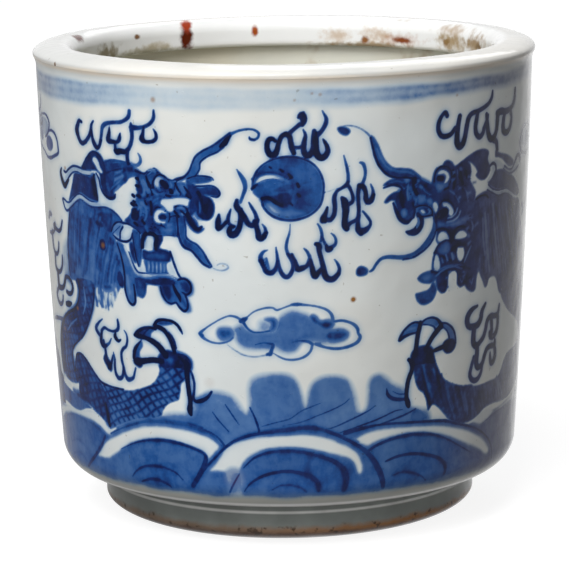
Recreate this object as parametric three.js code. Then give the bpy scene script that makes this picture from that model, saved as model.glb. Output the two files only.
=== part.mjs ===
// Brush pot in glazed porcelain: a slightly tapering round wall with a thick
// rounded lip, a base slab and a turned foot ring. Millimetres, +Z up.
// The origin is on the axis, on the surface that the foot stands on.
import * as THREE from 'three';

// Driving dimensions, in millimetres
const HEIGHT = 160;              // foot to the top of the lip

const LIP_OVERHANG = 0.9;        // widest point of the lip beyond the wall
const LIP_WIDTH = 14;            // widest to narrowest point of the lip
const LIP_CROWN_INSET = 8.7;     // widest point to where the lip is highest
const LIP_SHOULDER_DEPTH = 3.2;  // widest point below the top
const LIP_MOUTH_DEPTH = 5.2;     // narrowest point below the top
const LIP_SEAM_DEPTH = 4.2;      // top of the wall below the top of the lip
const LIP_SKIRT = 6.6;           // how far the lip reaches down inside the wall
const LIP_UNDERCUT_RADIUS = 1.6; // rounding under the mouth

const WALL_TOP_RADIUS = 83.7;    // outside of the wall at the seam with the lip
const WALL_FOOT_RADIUS = 77.8;   // outside of the wall where it turns under
const WALL_BELLY = 0.6;          // how far the wall swells from a straight taper
const WALL_THICKNESS = 8.6;
const BODY_UNDERSIDE = 15;       // height of the body's underside
const TURN_HEIGHT = 9.6;         // height of the rounding where the wall turns under
const TURN_DEPTH = 9.3;          // radial depth of the same rounding
const FLOOR_FILLET = 9;          // inside fillet between wall and floor

const SLAB_TOP = 20;             // base slab: height of the floor inside
const SLAB_BOSS_BOTTOM = 9;      // underside of the slab inside the foot
const SEAT_CLEARANCE = 0.3;      // radial gap of the slab and of the lip's skirt to their seats

const FOOT_SETBACK = 5.2;        // flat underside left between the rounding and the foot ring
const FOOT_BEVEL_DEPTH = 14.7;   // radial depth of the rounding at its lower edge
const FOOT_BEVEL_HEIGHT = 5.6;   // height of the same rounding
const FOOT_BORE_RADIUS = 42;     // inside of the foot ring
const FOOT_INNER_BEVEL = 2;      // rounding of its inner lower edge

const SEGMENTS = 72;             // facets round the axis

// Materials
const glaze = new THREE.MeshStandardMaterial({ color: 0xd3dcdb, roughness: 0.14, metalness: 0 });
const cobaltWall = new THREE.MeshStandardMaterial({ color: 0xa9b8cf, roughness: 0.14, metalness: 0 });
const celadonFoot = new THREE.MeshStandardMaterial({ color: 0x83908c, roughness: 0.24, metalness: 0 });
const plainSlab = new THREE.MeshStandardMaterial({ color: 0xd8dcd2, roughness: 0.3, metalness: 0 });

// A closed body of revolution about +Z from a profile of [radius, height]
// points, listed so that its outside faces out. A profile that doesn't start
// and end on the axis closes on itself.
function turned(name, profile, material) {
  const points = profile.map(([radius, height]) => new THREE.Vector2(radius, height));
  const onAxis = profile[0][0] === 0 && profile[profile.length - 1][0] === 0;
  if (!onAxis) {
    points.push(points[0].clone());
  }
  const geometry = new THREE.LatheGeometry(points, SEGMENTS);
  geometry.rotateX(Math.PI / 2);
  const mesh = new THREE.Mesh(geometry, material);
  mesh.name = name;
  return mesh;
}

// Points of an elliptical arc in the profile's plane; angles in degrees,
// 0 pointing outward and 90 up. The end points are left out where asked.
function arc(center, semiAxes, fromAngle, toAngle, steps, skipFirst = false) {
  const points = [];
  for (let i = skipFirst ? 1 : 0; i <= steps; i += 1) {
    const angle = THREE.MathUtils.degToRad(fromAngle + ((toAngle - fromAngle) * i) / steps);
    points.push([
      center[0] + semiAxes[0] * Math.cos(angle),
      center[1] + semiAxes[1] * Math.sin(angle),
    ]);
  }
  return points;
}

// Heights and radii that several pieces share
const seamHeight = HEIGHT - LIP_SEAM_DEPTH;
const turnTop = BODY_UNDERSIDE + TURN_HEIGHT;
const filletTop = SLAB_TOP + FLOOR_FILLET;
const filletRadius = WALL_FOOT_RADIUS - WALL_THICKNESS - FLOOR_FILLET;
const footRadius = WALL_FOOT_RADIUS - TURN_DEPTH - FOOT_SETBACK;

// Outside radius of the wall at a height between its turned lower edge and the seam
function wallRadius(height) {
  const share = (height - turnTop) / (seamHeight - turnTop);
  const straight = WALL_FOOT_RADIUS + (WALL_TOP_RADIUS - WALL_FOOT_RADIUS) * share;
  return straight + 4 * WALL_BELLY * share * (1 - share);
}

// Rolled lip: a broad crown that sits on the wall, with a skirt inside it
function rimLip() {
  const shoulder = HEIGHT - LIP_SHOULDER_DEPTH;
  const mouth = HEIGHT - LIP_MOUTH_DEPTH;
  const crownRadius = WALL_TOP_RADIUS + LIP_OVERHANG - LIP_CROWN_INSET;
  const mouthRadius = WALL_TOP_RADIUS + LIP_OVERHANG - LIP_WIDTH;
  const undercutRadius = mouthRadius + LIP_UNDERCUT_RADIUS;
  const skirtRadius = wallRadius(seamHeight - LIP_SKIRT) - WALL_THICKNESS - SEAT_CLEARANCE;
  const skirtBottom = seamHeight - LIP_SKIRT;
  const beadDepth = LIP_SEAM_DEPTH - LIP_SHOULDER_DEPTH;
  const profile = [
    [skirtRadius, skirtBottom],
    [skirtRadius, seamHeight],
    ...arc([WALL_TOP_RADIUS, shoulder], [LIP_OVERHANG, beadDepth], -90, 0, 3),
    ...arc([crownRadius, shoulder], [LIP_CROWN_INSET, LIP_SHOULDER_DEPTH], 0, 90, 8, true),
    ...arc([crownRadius, mouth], [crownRadius - mouthRadius, LIP_MOUTH_DEPTH], 90, 180, 7, true),
    ...arc([undercutRadius, skirtBottom + LIP_UNDERCUT_RADIUS],
      [LIP_UNDERCUT_RADIUS, LIP_UNDERCUT_RADIUS], 180, 270, 3),
  ];
  return turned('rim_lip', profile, glaze);
}

// Wall: tapering, the same thickness all the way, turned under to the foot
// outside, with a fillet inside that runs out to the floor
function bodyWall() {
  const outside = [];
  const inside = [];
  const steps = 8;
  for (let i = 1; i <= steps; i += 1) {
    const height = turnTop + ((seamHeight - turnTop) * i) / steps;
    outside.push([wallRadius(height), height]);
    const innerHeight = seamHeight + ((filletTop - seamHeight) * (i - 1)) / steps;
    inside.push([wallRadius(innerHeight) - WALL_THICKNESS, innerHeight]);
  }
  const filletDepth = wallRadius(filletTop) - WALL_THICKNESS - filletRadius;
  const profile = [
    [filletRadius, BODY_UNDERSIDE],
    ...arc([WALL_FOOT_RADIUS - TURN_DEPTH, turnTop], [TURN_DEPTH, TURN_HEIGHT], -90, 0, 7),
    ...outside,
    ...inside,
    ...arc([filletRadius, filletTop], [filletDepth, FLOOR_FILLET], 0, -90, 5),
  ];
  return turned('body_wall', profile, cobaltWall);
}

// Base slab: a disc that seats inside the wall, with a boss that fills the foot ring's bore
function baseSlab() {
  const bossRadius = FOOT_BORE_RADIUS - SEAT_CLEARANCE;
  const discRadius = filletRadius - SEAT_CLEARANCE;
  const profile = [
    [0, SLAB_BOSS_BOTTOM],
    [bossRadius, SLAB_BOSS_BOTTOM],
    [bossRadius, BODY_UNDERSIDE],
    [discRadius, BODY_UNDERSIDE],
    [discRadius, SLAB_TOP],
    [0, SLAB_TOP],
  ];
  return turned('base_slab', profile, plainSlab);
}

// Foot ring: rounded at its lower edges, flat where it stands and on top,
// where the wall and the slab sit on it
function footRing() {
  const bevelAxes = [FOOT_BEVEL_DEPTH, FOOT_BEVEL_HEIGHT];
  const innerAxes = [FOOT_INNER_BEVEL, FOOT_INNER_BEVEL];
  const profile = [
    ...arc([footRadius - FOOT_BEVEL_DEPTH, FOOT_BEVEL_HEIGHT], bevelAxes, -90, 0, 7),
    [footRadius, BODY_UNDERSIDE],
    [FOOT_BORE_RADIUS, BODY_UNDERSIDE],
    ...arc([FOOT_BORE_RADIUS + FOOT_INNER_BEVEL, FOOT_INNER_BEVEL], innerAxes, 180, 270, 3),
  ];
  return turned('foot_ring', profile, celadonFoot);
}

const brushPot = new THREE.Group();
brushPot.add(footRing(), baseSlab(), bodyWall(), rimLip());

export default brushPot;
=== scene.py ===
"""A porcelain brush pot painted in underglaze blue: two dragons and a flaming pearl over waves.

Sections are in millimetres and heights start at the foot's underside. The painting lies on the
unrolled wall: along is the distance round from the front at PAINT_RADIUS, positive to the right.
"""

import math

import bpy
import numpy as np
from mathutils import Matrix, Vector


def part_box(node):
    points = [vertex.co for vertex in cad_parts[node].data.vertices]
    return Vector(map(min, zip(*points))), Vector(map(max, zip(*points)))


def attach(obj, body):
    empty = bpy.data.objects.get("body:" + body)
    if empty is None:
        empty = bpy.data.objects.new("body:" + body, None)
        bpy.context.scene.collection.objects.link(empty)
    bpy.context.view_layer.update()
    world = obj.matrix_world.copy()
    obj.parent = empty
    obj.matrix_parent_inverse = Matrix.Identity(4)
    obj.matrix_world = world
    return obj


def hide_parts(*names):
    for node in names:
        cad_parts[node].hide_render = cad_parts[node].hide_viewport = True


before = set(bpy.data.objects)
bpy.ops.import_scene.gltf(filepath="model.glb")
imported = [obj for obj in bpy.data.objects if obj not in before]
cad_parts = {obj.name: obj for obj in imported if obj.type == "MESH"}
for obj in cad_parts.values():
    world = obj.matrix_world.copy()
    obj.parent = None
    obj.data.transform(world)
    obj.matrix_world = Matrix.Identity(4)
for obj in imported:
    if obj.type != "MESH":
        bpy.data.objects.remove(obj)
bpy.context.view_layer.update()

# Measures read from the CAD part, in millimetres
MM = 0.001
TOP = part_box("rim_lip")[1].z / MM
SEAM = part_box("body_wall")[1].z / MM
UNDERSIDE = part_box("body_wall")[0].z / MM
WALL_TOP_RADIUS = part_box("body_wall")[1].x / MM
FOOT_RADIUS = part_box("foot_ring")[1].x / MM
SLAB_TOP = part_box("base_slab")[1].z / MM
SLAB_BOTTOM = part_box("base_slab")[0].z / MM
SLAB_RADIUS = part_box("base_slab")[1].x / MM
SKIRT_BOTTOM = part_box("rim_lip")[0].z / MM

# Measures of the sections, in millimetres
WALL_FOOT_RADIUS = 77.8
WALL_BELLY = 0.6
WALL_THICKNESS = 8.6
SEAT_CLEARANCE = 0.3
TURN_HEIGHT = 9.6
TURN_DEPTH = 9.3
TURN_TOP = UNDERSIDE + TURN_HEIGHT
FLOOR_FILLET = 9.0
LIP_OVERHANG = 0.9
LIP_WIDTH = 14.0
LIP_CROWN_INSET = 8.7
LIP_SHOULDER_DEPTH = 3.2
LIP_MOUTH_DEPTH = 5.2
LIP_UNDERCUT_RADIUS = 1.6
LIP_SWELL = 0.72
SWELL_HEIGHT = 3.0
LIP_DIP = 0.16
FOOT_BEVEL_DEPTH = 14.7
FOOT_BEVEL_HEIGHT = 5.6
FOOT_BORE_RADIUS = 42.0
FOOT_INNER_BEVEL = 2.0
SLAB_BOSS_RADIUS = FOOT_BORE_RADIUS - SEAT_CLEARANCE

# How fine the meshes are
PAINT_STEP = 0.4
WALL_COLUMNS = 1272
LIP_COLUMNS = 480
FOOT_COLUMNS = 360
SHARP_ANGLE = 55

# The wall's texture map: its margins, the size of a sheet, the step between sheets, and the strip
MAP_SIDE, MAP_BASE = 0.003, 0.002
SHEET_WIDTH, SHEET_HEIGHT = 0.494, 0.462
SHEET_ACROSS, SHEET_UP = 0.5, 0.467
STRIP_WIDTH, STRIP_HEIGHT, STRIP_BASE = 0.994, 0.06, 0.937

# The painted surface, unrolled
PAINT_RADIUS = 81.0
ROUND = 2 * math.pi * PAINT_RADIUS

# Brushwork: how wide the soft edges are, in millimetres, and the widths of the brushes
LINE_EDGE = 0.8
HALO_EDGE = 2.4
WASH_EDGE = 0.7
LIGHT_LINE_EDGE = 0.5
SCALE_LINE = 0.62
SCALE_ANGLE = 76
FINE_BRUSH = 0.82
FULL_BRUSH = 1.13
LOADED_BRUSH = 1.3

# For each kind of filled shape its soft edge, and whether it clears what lies under it
FILLS = {
    "w": (WASH_EDGE, False),
    "s": (2.5, False),
    "c": (0.5, True),
    "v": (1.6, True),
}


def wall_radius(height):
    """Outside radius of the wall: a straight taper with a slight belly."""
    share = (height - TURN_TOP) / (SEAM - TURN_TOP)
    taper = (WALL_TOP_RADIUS - WALL_FOOT_RADIUS) * share
    return WALL_FOOT_RADIUS + taper + 4 * WALL_BELLY * share * (1 - share)


def flare(height):
    """How far the glaze swells outwards below the lip, so that the wall meets the lip's bead."""
    return LIP_SWELL * np.clip((height - SEAM + SWELL_HEIGHT) / SWELL_HEIGHT, 0, 1)**2


def curve(points, closed=False, step=0.6):
    """Catmull-Rom curve through rows of (along, height, ...), sampled about every step mm."""
    p = np.asarray(points, float)
    if closed:
        p = np.vstack([p[-1], p, p[0], p[1]])
    else:
        p = np.vstack([2 * p[0] - p[1], p, 2 * p[-1] - p[-2]])
    parts = []
    for p0, p1, p2, p3 in zip(p[:-3], p[1:-2], p[2:-1], p[3:]):
        length = np.hypot(*(p2 - p1)[:2])
        t = np.linspace(0, 1, max(2, int(length / step) + 1), endpoint=False)[:, None]
        square = (2 * p0 - 5 * p1 + 4 * p2 - p3) * t**2
        cube = (3 * p1 - p0 - 3 * p2 + p3) * t**3
        parts.append(0.5 * (2 * p1 + (p2 - p0) * t + square + cube))
    if not closed:
        parts.append(p[-2:-1])
    return np.vstack(parts)


def read_points(text):
    """Rows (along, height, width) from a text such as "4.5,120,1.2 6,121"; a width that is left
    out is interpolated, and is 1 where the text has none."""
    rows = [[float(number) for number in word.split(",")] for word in text.split()]
    given = [(i, row[2]) for i, row in enumerate(rows) if len(row) > 2] or [(0, 1.0)]
    at, widths = zip(*given)
    return np.array([[row[0], row[1], np.interp(i, at, widths)] for i, row in enumerate(rows)])


class Paint:
    """Cobalt on the unrolled wall: for each grid point a line's cover and tone, a wash's tone,
    and rust."""

    def __init__(self, along, height):
        self.along, self.height = along, height
        shape = (len(height), len(along))
        self.cover = np.zeros(shape)
        self.tone = np.full(shape, 0.85)
        self.wash = np.zeros(shape)
        self.rust = np.zeros(shape)

    def window(self, low, high):
        """The slices of the grid between two corners, or None where they hold no point."""
        c0, c1 = np.searchsorted(self.along, (low[0], high[0]))
        r0, r1 = np.searchsorted(self.height, (low[1], high[1]))
        if c0 == c1 or r0 == r1:
            return None
        return slice(r0, r1), slice(c0, c1)

    def spread(self, win):
        """The places along and the heights of a window, to combine into its grid."""
        return self.along[win[1]][None, :], self.height[win[0]][:, None]

    def copies(self, pts):
        """The points, and once more a turn away where they cross the seam at the back."""
        margin = 4
        for turn in (-ROUND, 0, ROUND):
            low, high = pts[:, 0].min() + turn, pts[:, 0].max() + turn
            if high > -ROUND / 2 - margin and low < ROUND / 2 + margin:
                moved = pts.copy()
                moved[:, 0] += turn
                yield moved

    def line(self, pts, tone, blur=LINE_EDGE):
        """A brush line: cover is 0.5 at its edge and changes by 1 over blur mm."""
        for p in self.copies(curve(pts)):
            p[:, 2] = np.maximum(p[:, 2], 0.05)
            reach = p[:, 2].max() / 2 + blur
            win = self.window(p[:, :2].min(0) - reach, p[:, :2].max(0) + reach)
            if win is None:
                continue
            depth = self.depth_in_line(p, blur, win)
            cover = (0.5 + depth / blur).clip(0, 1)
            old = self.cover[win]
            stronger = cover * tone > old * self.tone[win]
            self.tone[win] = np.where(stronger & (cover > 0), tone, self.tone[win])
            self.cover[win] = np.maximum(old, cover)

    def depth_in_line(self, p, blur, win):
        """How deep each point of a window lies inside a line, in mm; negative outside it."""
        depth = np.full(self.cover[win].shape, -9.0)
        for a, b in zip(p[:-1], p[1:]):
            reach = max(a[2], b[2]) / 2 + blur
            near = self.window(np.minimum(a, b)[:2] - reach, np.maximum(a, b)[:2] + reach)
            if near is None:
                continue
            x, y = self.spread(near)
            d = b - a
            t = ((x - a[0]) * d[0] + (y - a[1]) * d[1]) / max(d[0]**2 + d[1]**2, 1e-9)
            t = t.clip(0, 1)
            away = np.hypot(x - a[0] - t * d[0], y - a[1] - t * d[1])
            part = (a[2] + t * d[2]) / 2 - away
            rows = slice(near[0].start - win[0].start, near[0].stop - win[0].start)
            cols = slice(near[1].start - win[1].start, near[1].stop - win[1].start)
            depth[rows, cols] = np.maximum(depth[rows, cols], part)
        return depth

    def halo(self, pts, tone):
        """A soft wash along a line, as cobalt that has bled into the glaze round it."""
        kept = self.cover, self.tone
        self.cover, self.tone = np.zeros(self.wash.shape), np.ones(self.wash.shape)
        self.line(pts, 1.0, HALO_EDGE)
        soft = self.cover
        self.cover, self.tone = kept
        self.wash = np.maximum(self.wash, tone * soft * soft * (3 - 2 * soft))

    def inside(self, pts, soft, win):
        """Cover of a closed outline on a window: 1 inside, 0 outside, soft mm of change."""
        x, y = self.spread(win)
        odd = np.zeros((y.size, x.size), bool)
        away = np.full(odd.shape, 1e9)
        for a, b in zip(pts, np.roll(pts, -1, 0)):
            d = (b - a)[:2]
            if min(a[1], b[1]) <= y.max() and max(a[1], b[1]) >= y.min() and d[1] != 0:
                odd ^= ((a[1] > y) != (b[1] > y)) & (x < a[0] + (y - a[1]) * d[0] / d[1])
            t = (((x - a[0]) * d[0] + (y - a[1]) * d[1]) / max(d @ d, 1e-9)).clip(0, 1)
            away = np.minimum(away, (x - a[0] - t * d[0])**2 + (y - a[1] - t * d[1])**2)
        away = np.sqrt(away)
        return (0.5 + np.where(odd, away, -away) / soft).clip(0, 1)

    def fill(self, pts, tone, soft=WASH_EDGE, clear=False):
        """A wash inside a closed outline; clear scrapes line and wash down to the tone instead."""
        for p in self.copies(curve(pts, closed=True, step=1.0)):
            win = self.window(p[:, :2].min(0) - soft, p[:, :2].max(0) + soft)
            if win is None:
                continue
            cover = self.inside(p, soft, win)
            if clear:
                self.wash[win] += cover * (tone - self.wash[win])
                self.cover[win] *= 1 - cover
            else:
                self.wash[win] = np.maximum(self.wash[win], cover * tone)


def draw(paint, text, place=lambda pts: pts):
    """Draws a text of strokes. Each starts a row with its kind and tone, then come its points,
    and a row that starts with a space goes on with them. Kinds: l line, h halo of a line, k line
    of another tone in a wash, w wash, s soft wash, c cleared shape, v soft cleared shape."""
    for row in text.strip().replace("\n ", " ").splitlines():
        head, points = row.split(maxsplit=1)
        kind, tone = head[0], float(head[1:])
        pts = place(read_points(points))
        if kind == "l":
            paint.line(pts, tone)
        elif kind == "h":
            paint.halo(pts, tone)
        elif kind == "k":
            reserve(paint, pts, tone)
        else:
            paint.fill(pts, tone, *FILLS[kind])


def ring_of(pts):
    """The closed outline round a tapering line."""
    p = curve(pts)
    side = np.gradient(p[:, :2], axis=0)
    side /= np.maximum(np.hypot(side[:, 0], side[:, 1]), 1e-9)[:, None]
    out = np.stack([-side[:, 1], side[:, 0]], 1) * p[:, 2:] / 2
    ring = np.vstack([p[:, :2] + out, (p[:, :2] - out)[::-1]])
    return np.hstack([ring, np.ones((len(ring), 1))])


def reserve(paint, pts, tone, soft=LIGHT_LINE_EDGE):
    """A line of another tone in a wash, as a light one left in a dark wash."""
    for q in paint.copies(ring_of(pts)):
        win = paint.window(q[:, :2].min(0) - 1, q[:, :2].max(0) + 1)
        if win is None:
            continue
        cover = paint.inside(q, soft, win)
        paint.wash[win] += cover * (tone - paint.wash[win])
        paint.cover[win] *= 1 - cover


def scales(paint, outline, tone, dark, size, lean):
    """A fill crossed by two sets of leaning lines, like scales drawn with a fine brush."""
    outline = curve(outline, closed=True, step=1.0)
    for p in paint.copies(outline):
        win = paint.window(p[:, :2].min(0) - 1, p[:, :2].max(0) + 1)
        if win is None:
            continue
        x, y = paint.spread(win)
        x = x - (p[0, 0] - outline[0, 0])
        bend = 0.5 * np.sin(0.23 * x + 0.31 * y)
        lines = np.zeros(np.broadcast(x, y).shape)
        for angle in (lean, lean + SCALE_ANGLE):
            across = x * math.cos(math.radians(angle)) + y * math.sin(math.radians(angle)) + bend
            apart = np.abs(across / size - np.round(across / size)) * size
            lines = np.maximum(lines, (1.15 - apart / SCALE_LINE).clip(0, 1))
        value = paint.inside(p, WASH_EDGE, win) * (tone + (dark - tone) * lines)
        paint.wash[win] = np.maximum(paint.wash[win], value)


def scaled_body(paint, text, fin_side):
    """A long tapering body: scales in a ring round its spine, dark edges, and fins on the side
    of the spine that fin_side names: 1 left of its run, -1 right of it."""
    spine = read_points(text)
    ring = ring_of(spine)[::4]
    scales(paint, ring, 0.55, 0.95, 2.0, 30)
    half = len(ring) // 2
    for edge in (ring[:half], ring[half:]):
        paint.line(edge * (1, 1, 1.3), 0.92)
    fine = curve(spine)
    run = np.gradient(fine[:, :2], axis=0)
    run /= np.hypot(run[:, 0], run[:, 1])[:, None]
    for at in range(16, len(fine) - 40, 13):
        ahead = run[at]
        out = np.array((-ahead[1], ahead[0])) * fin_side
        foot = fine[at, :2] + out * fine[at, 2] / 2
        fin = np.ones((3, 3))
        fin[:, :2] = foot - 3 * ahead, foot + 4.6 * out + 2.4 * ahead, foot + 3 * ahead
        paint.fill(fin, 0.7)
        paint.line(fin, 0.92)


def hairs(paint, roots, tips, dark, light, width, count, seed):
    """Brush hairs from one curve towards another, of uneven length and tone; some are light
    streaks left in the wash."""
    pick = np.random.default_rng(seed)
    first = curve(read_points(roots))
    last = curve(read_points(tips))
    for share in np.linspace(0, 1, count):
        root, tip = (share + pick.uniform(-0.8, 0.8, 2) / count).clip(0, 1)
        start = first[int(root * (len(first) - 1))]
        reach = last[int(tip * (len(last) - 1))] - start
        begin, end = pick.uniform(0, 0.45), pick.uniform(0.55, 1)
        row = start + reach * np.array([[begin], [(begin + end) / 2], [end]])
        row[1, 0] += pick.uniform(-0.7, 0.7)
        row[:, 2] = width * pick.uniform(0.7, 1.5) * np.array((0.7, 1, 0.5))
        tone = light if pick.random() < 0.4 else dark
        reserve(paint, row, tone * pick.uniform(0.8, 1.15), 0.9)


def dabs(paint, outline, tone, light, count, seed):
    """Short touches of the brush scattered inside an outline, two dark ones for each light one."""
    pick = np.random.default_rng(seed)
    outline = curve(read_points(outline), closed=True, step=1.0)
    win = paint.window(outline[:, :2].min(0), outline[:, :2].max(0))
    cells = np.argwhere(paint.inside(outline, WASH_EDGE, win) > 0.9)
    for touch, (row, col) in enumerate(cells[pick.integers(0, len(cells), count)]):
        start = np.array((paint.along[win[1]][col], paint.height[win[0]][row], 1.0))
        angle = pick.uniform(-1.2, 0.6)
        reach = pick.uniform(0.8, 2.2)
        end = start + (reach * math.cos(angle), reach * math.sin(angle), -0.4)
        if touch % 3 == 2:
            reserve(paint, np.array((start, end)), light, 0.8)
        else:
            paint.line(np.array((start, end)), tone, 1.5)


def band(paint, low, high, tones):
    """A brushed band round the pot between two heights that drift with the bearing; tones holds
    (along, tone) pairs round the pot."""
    x, y = paint.along[None, :], paint.height[:, None]
    bearing = x / PAINT_RADIUS
    bottom = low + 1.75 * np.sin(bearing) + 0.3 * np.sin(9 * bearing + 1) + 0.2 * np.sin(23 * bearing)
    top = high + 0.35 * np.sin(3 * bearing + 2) + 0.2 * np.sin(17 * bearing)
    places, values = zip(*tones)
    tone = np.interp(x, places, values, period=ROUND)
    strokes = 1 + 0.08 * np.sin(2.2 * y + 1.5 * np.sin(4 * bearing)) + 0.08 * np.sin(7 * bearing + 1)
    cover = ((y - bottom) / 3.2 + 0.6).clip(0, 1) * ((top - y) / 2.4 + 0.6).clip(0, 1)
    cover = cover * cover * (3 - 2 * cover)
    paint.wash[:] = np.maximum(paint.wash, cover * tone * strokes)


def bleed(paint, reach=0.9, strength=0.45):
    """Lets the lines bleed into the glaze round them, reach mm far."""
    ink = paint.cover * paint.tone
    steps = np.arange(-6, 7)
    weights = np.exp(-0.5 * (steps * PAINT_STEP / reach)**2)
    weights /= weights.sum()
    for axis in (0, 1):
        ink = sum(share * np.roll(ink, step, axis) for share, step in zip(weights, steps))
    paint.wash += strength * ink * (1 - paint.wash).clip(0, 1)


def spots(paint, rows):
    """Rust-brown iron spots: rows of along, height, radius and strength."""
    for a, z, radius, strength in rows:
        away = np.hypot(paint.along[None, :] - a, paint.height[:, None] - z)
        paint.rust[:] = np.maximum(paint.rust, strength * (1.5 - away / radius).clip(0, 1))


# The pearl and the flames round it
PEARL = """
w0.66 -10.2,121 -9.4,125.2 -7,128.6 -3,130.6 1.5,131.1 6,130.2 9.4,127.6 11.2,124 11.4,120.5
 10.5,116.2 7.4,113.2 3,111.7 -1,111.7 -4.4,113.2 -6.4,115.4 -7.4,117.6 -9.6,119.4
s0.5 -4,128.5 1,129.8 6,128.6 8,126 4,126.4 0,127.4
v0.42 -2,112.6 2,112.4 6,113.4 3,114.4 -1,114.2
c0.04 -9.4,122.9 -8.2,124.9 -5.2,125.8 -2.4,125.5 -0.6,124.4 -2,124.2 -4.2,124.4 -7,123.7
v0.3 -3,125.3 -0.6,124.6 1.2,123.2 -1,124
v0.22 -6.1,116.6 -4.6,116.3 -3,114.6 -1.8,113.7 -3.6,113.2 -5.3,114.8
s1.04 -7.4,118 -5.6,119.2 -3,120 -0.6,120.8 1.4,120.6 2.5,118.9 2,116.4 0.2,114.9 -2.4,114.9
 -4.2,116.6 -6.2,117.5
s0.84 -5,120.4 -2,123 2,123.6 3.2,121.4 1.4,119.6 -2,119.4
l0.35 11.6,119.8,0.6 13.6,120.2,0.6 15.8,121,0.4
l1 -7.3,118.2,1.4 -5.4,118.4,1.6 -3,117,1.8 -1.2,115.8,1.2
s0.85 1,124 3,123.4 3.4,120 2,117.6 0.6,119 0.6,122
l0.95 -10.3,121.4,1.1 -9.6,122.1,1.4 -8.6,122.8,0.7
l0.8 -10.3,124.4,0.9 -8,126.1,0.7 -5,126.6 -2,125.9,0.7 1,124.2,0.9
l0.75 -9,122.9,0.5 -6.4,124,0.5 -3.4,124.3 -0.6,123.2,0.8
l0.82 -6.7,115,0.9 -7.1,117.4,0.8
l0.83 -10.3,121,0.8 -9.6,125.2,1 -7.1,128.7,0.8 -3,130.8,1 1.5,131.3,1.2 6,130.4,1 9.5,127.8,0.8
 11.3,124.1,0.9 11.6,120.5,0.9 10.6,116,1 7.5,112.9,0.9 3,111.4,1.1 -1,111.5,1.1 -4.5,112.9,1.1
 -6.8,115.4,1 -7.5,117.2,0.7
l0.95 -4.9,128.3,1 -4.4,127.9,1.1
l0.98 -1.7,127.5,1 -0.8,126.8,1.4
l1 0.9,125.9,1.1 1.7,124.9,1.5
l1 3.6,122.8,1.3 4,121.9,1.4
l0.98 3.7,119.4,1.4 4.2,118.9,1.4
l0.98 1.3,116.7,1.2 2,116,1
l0.78 5,122.8,0.4 8,123.4,0.5
"""

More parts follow.
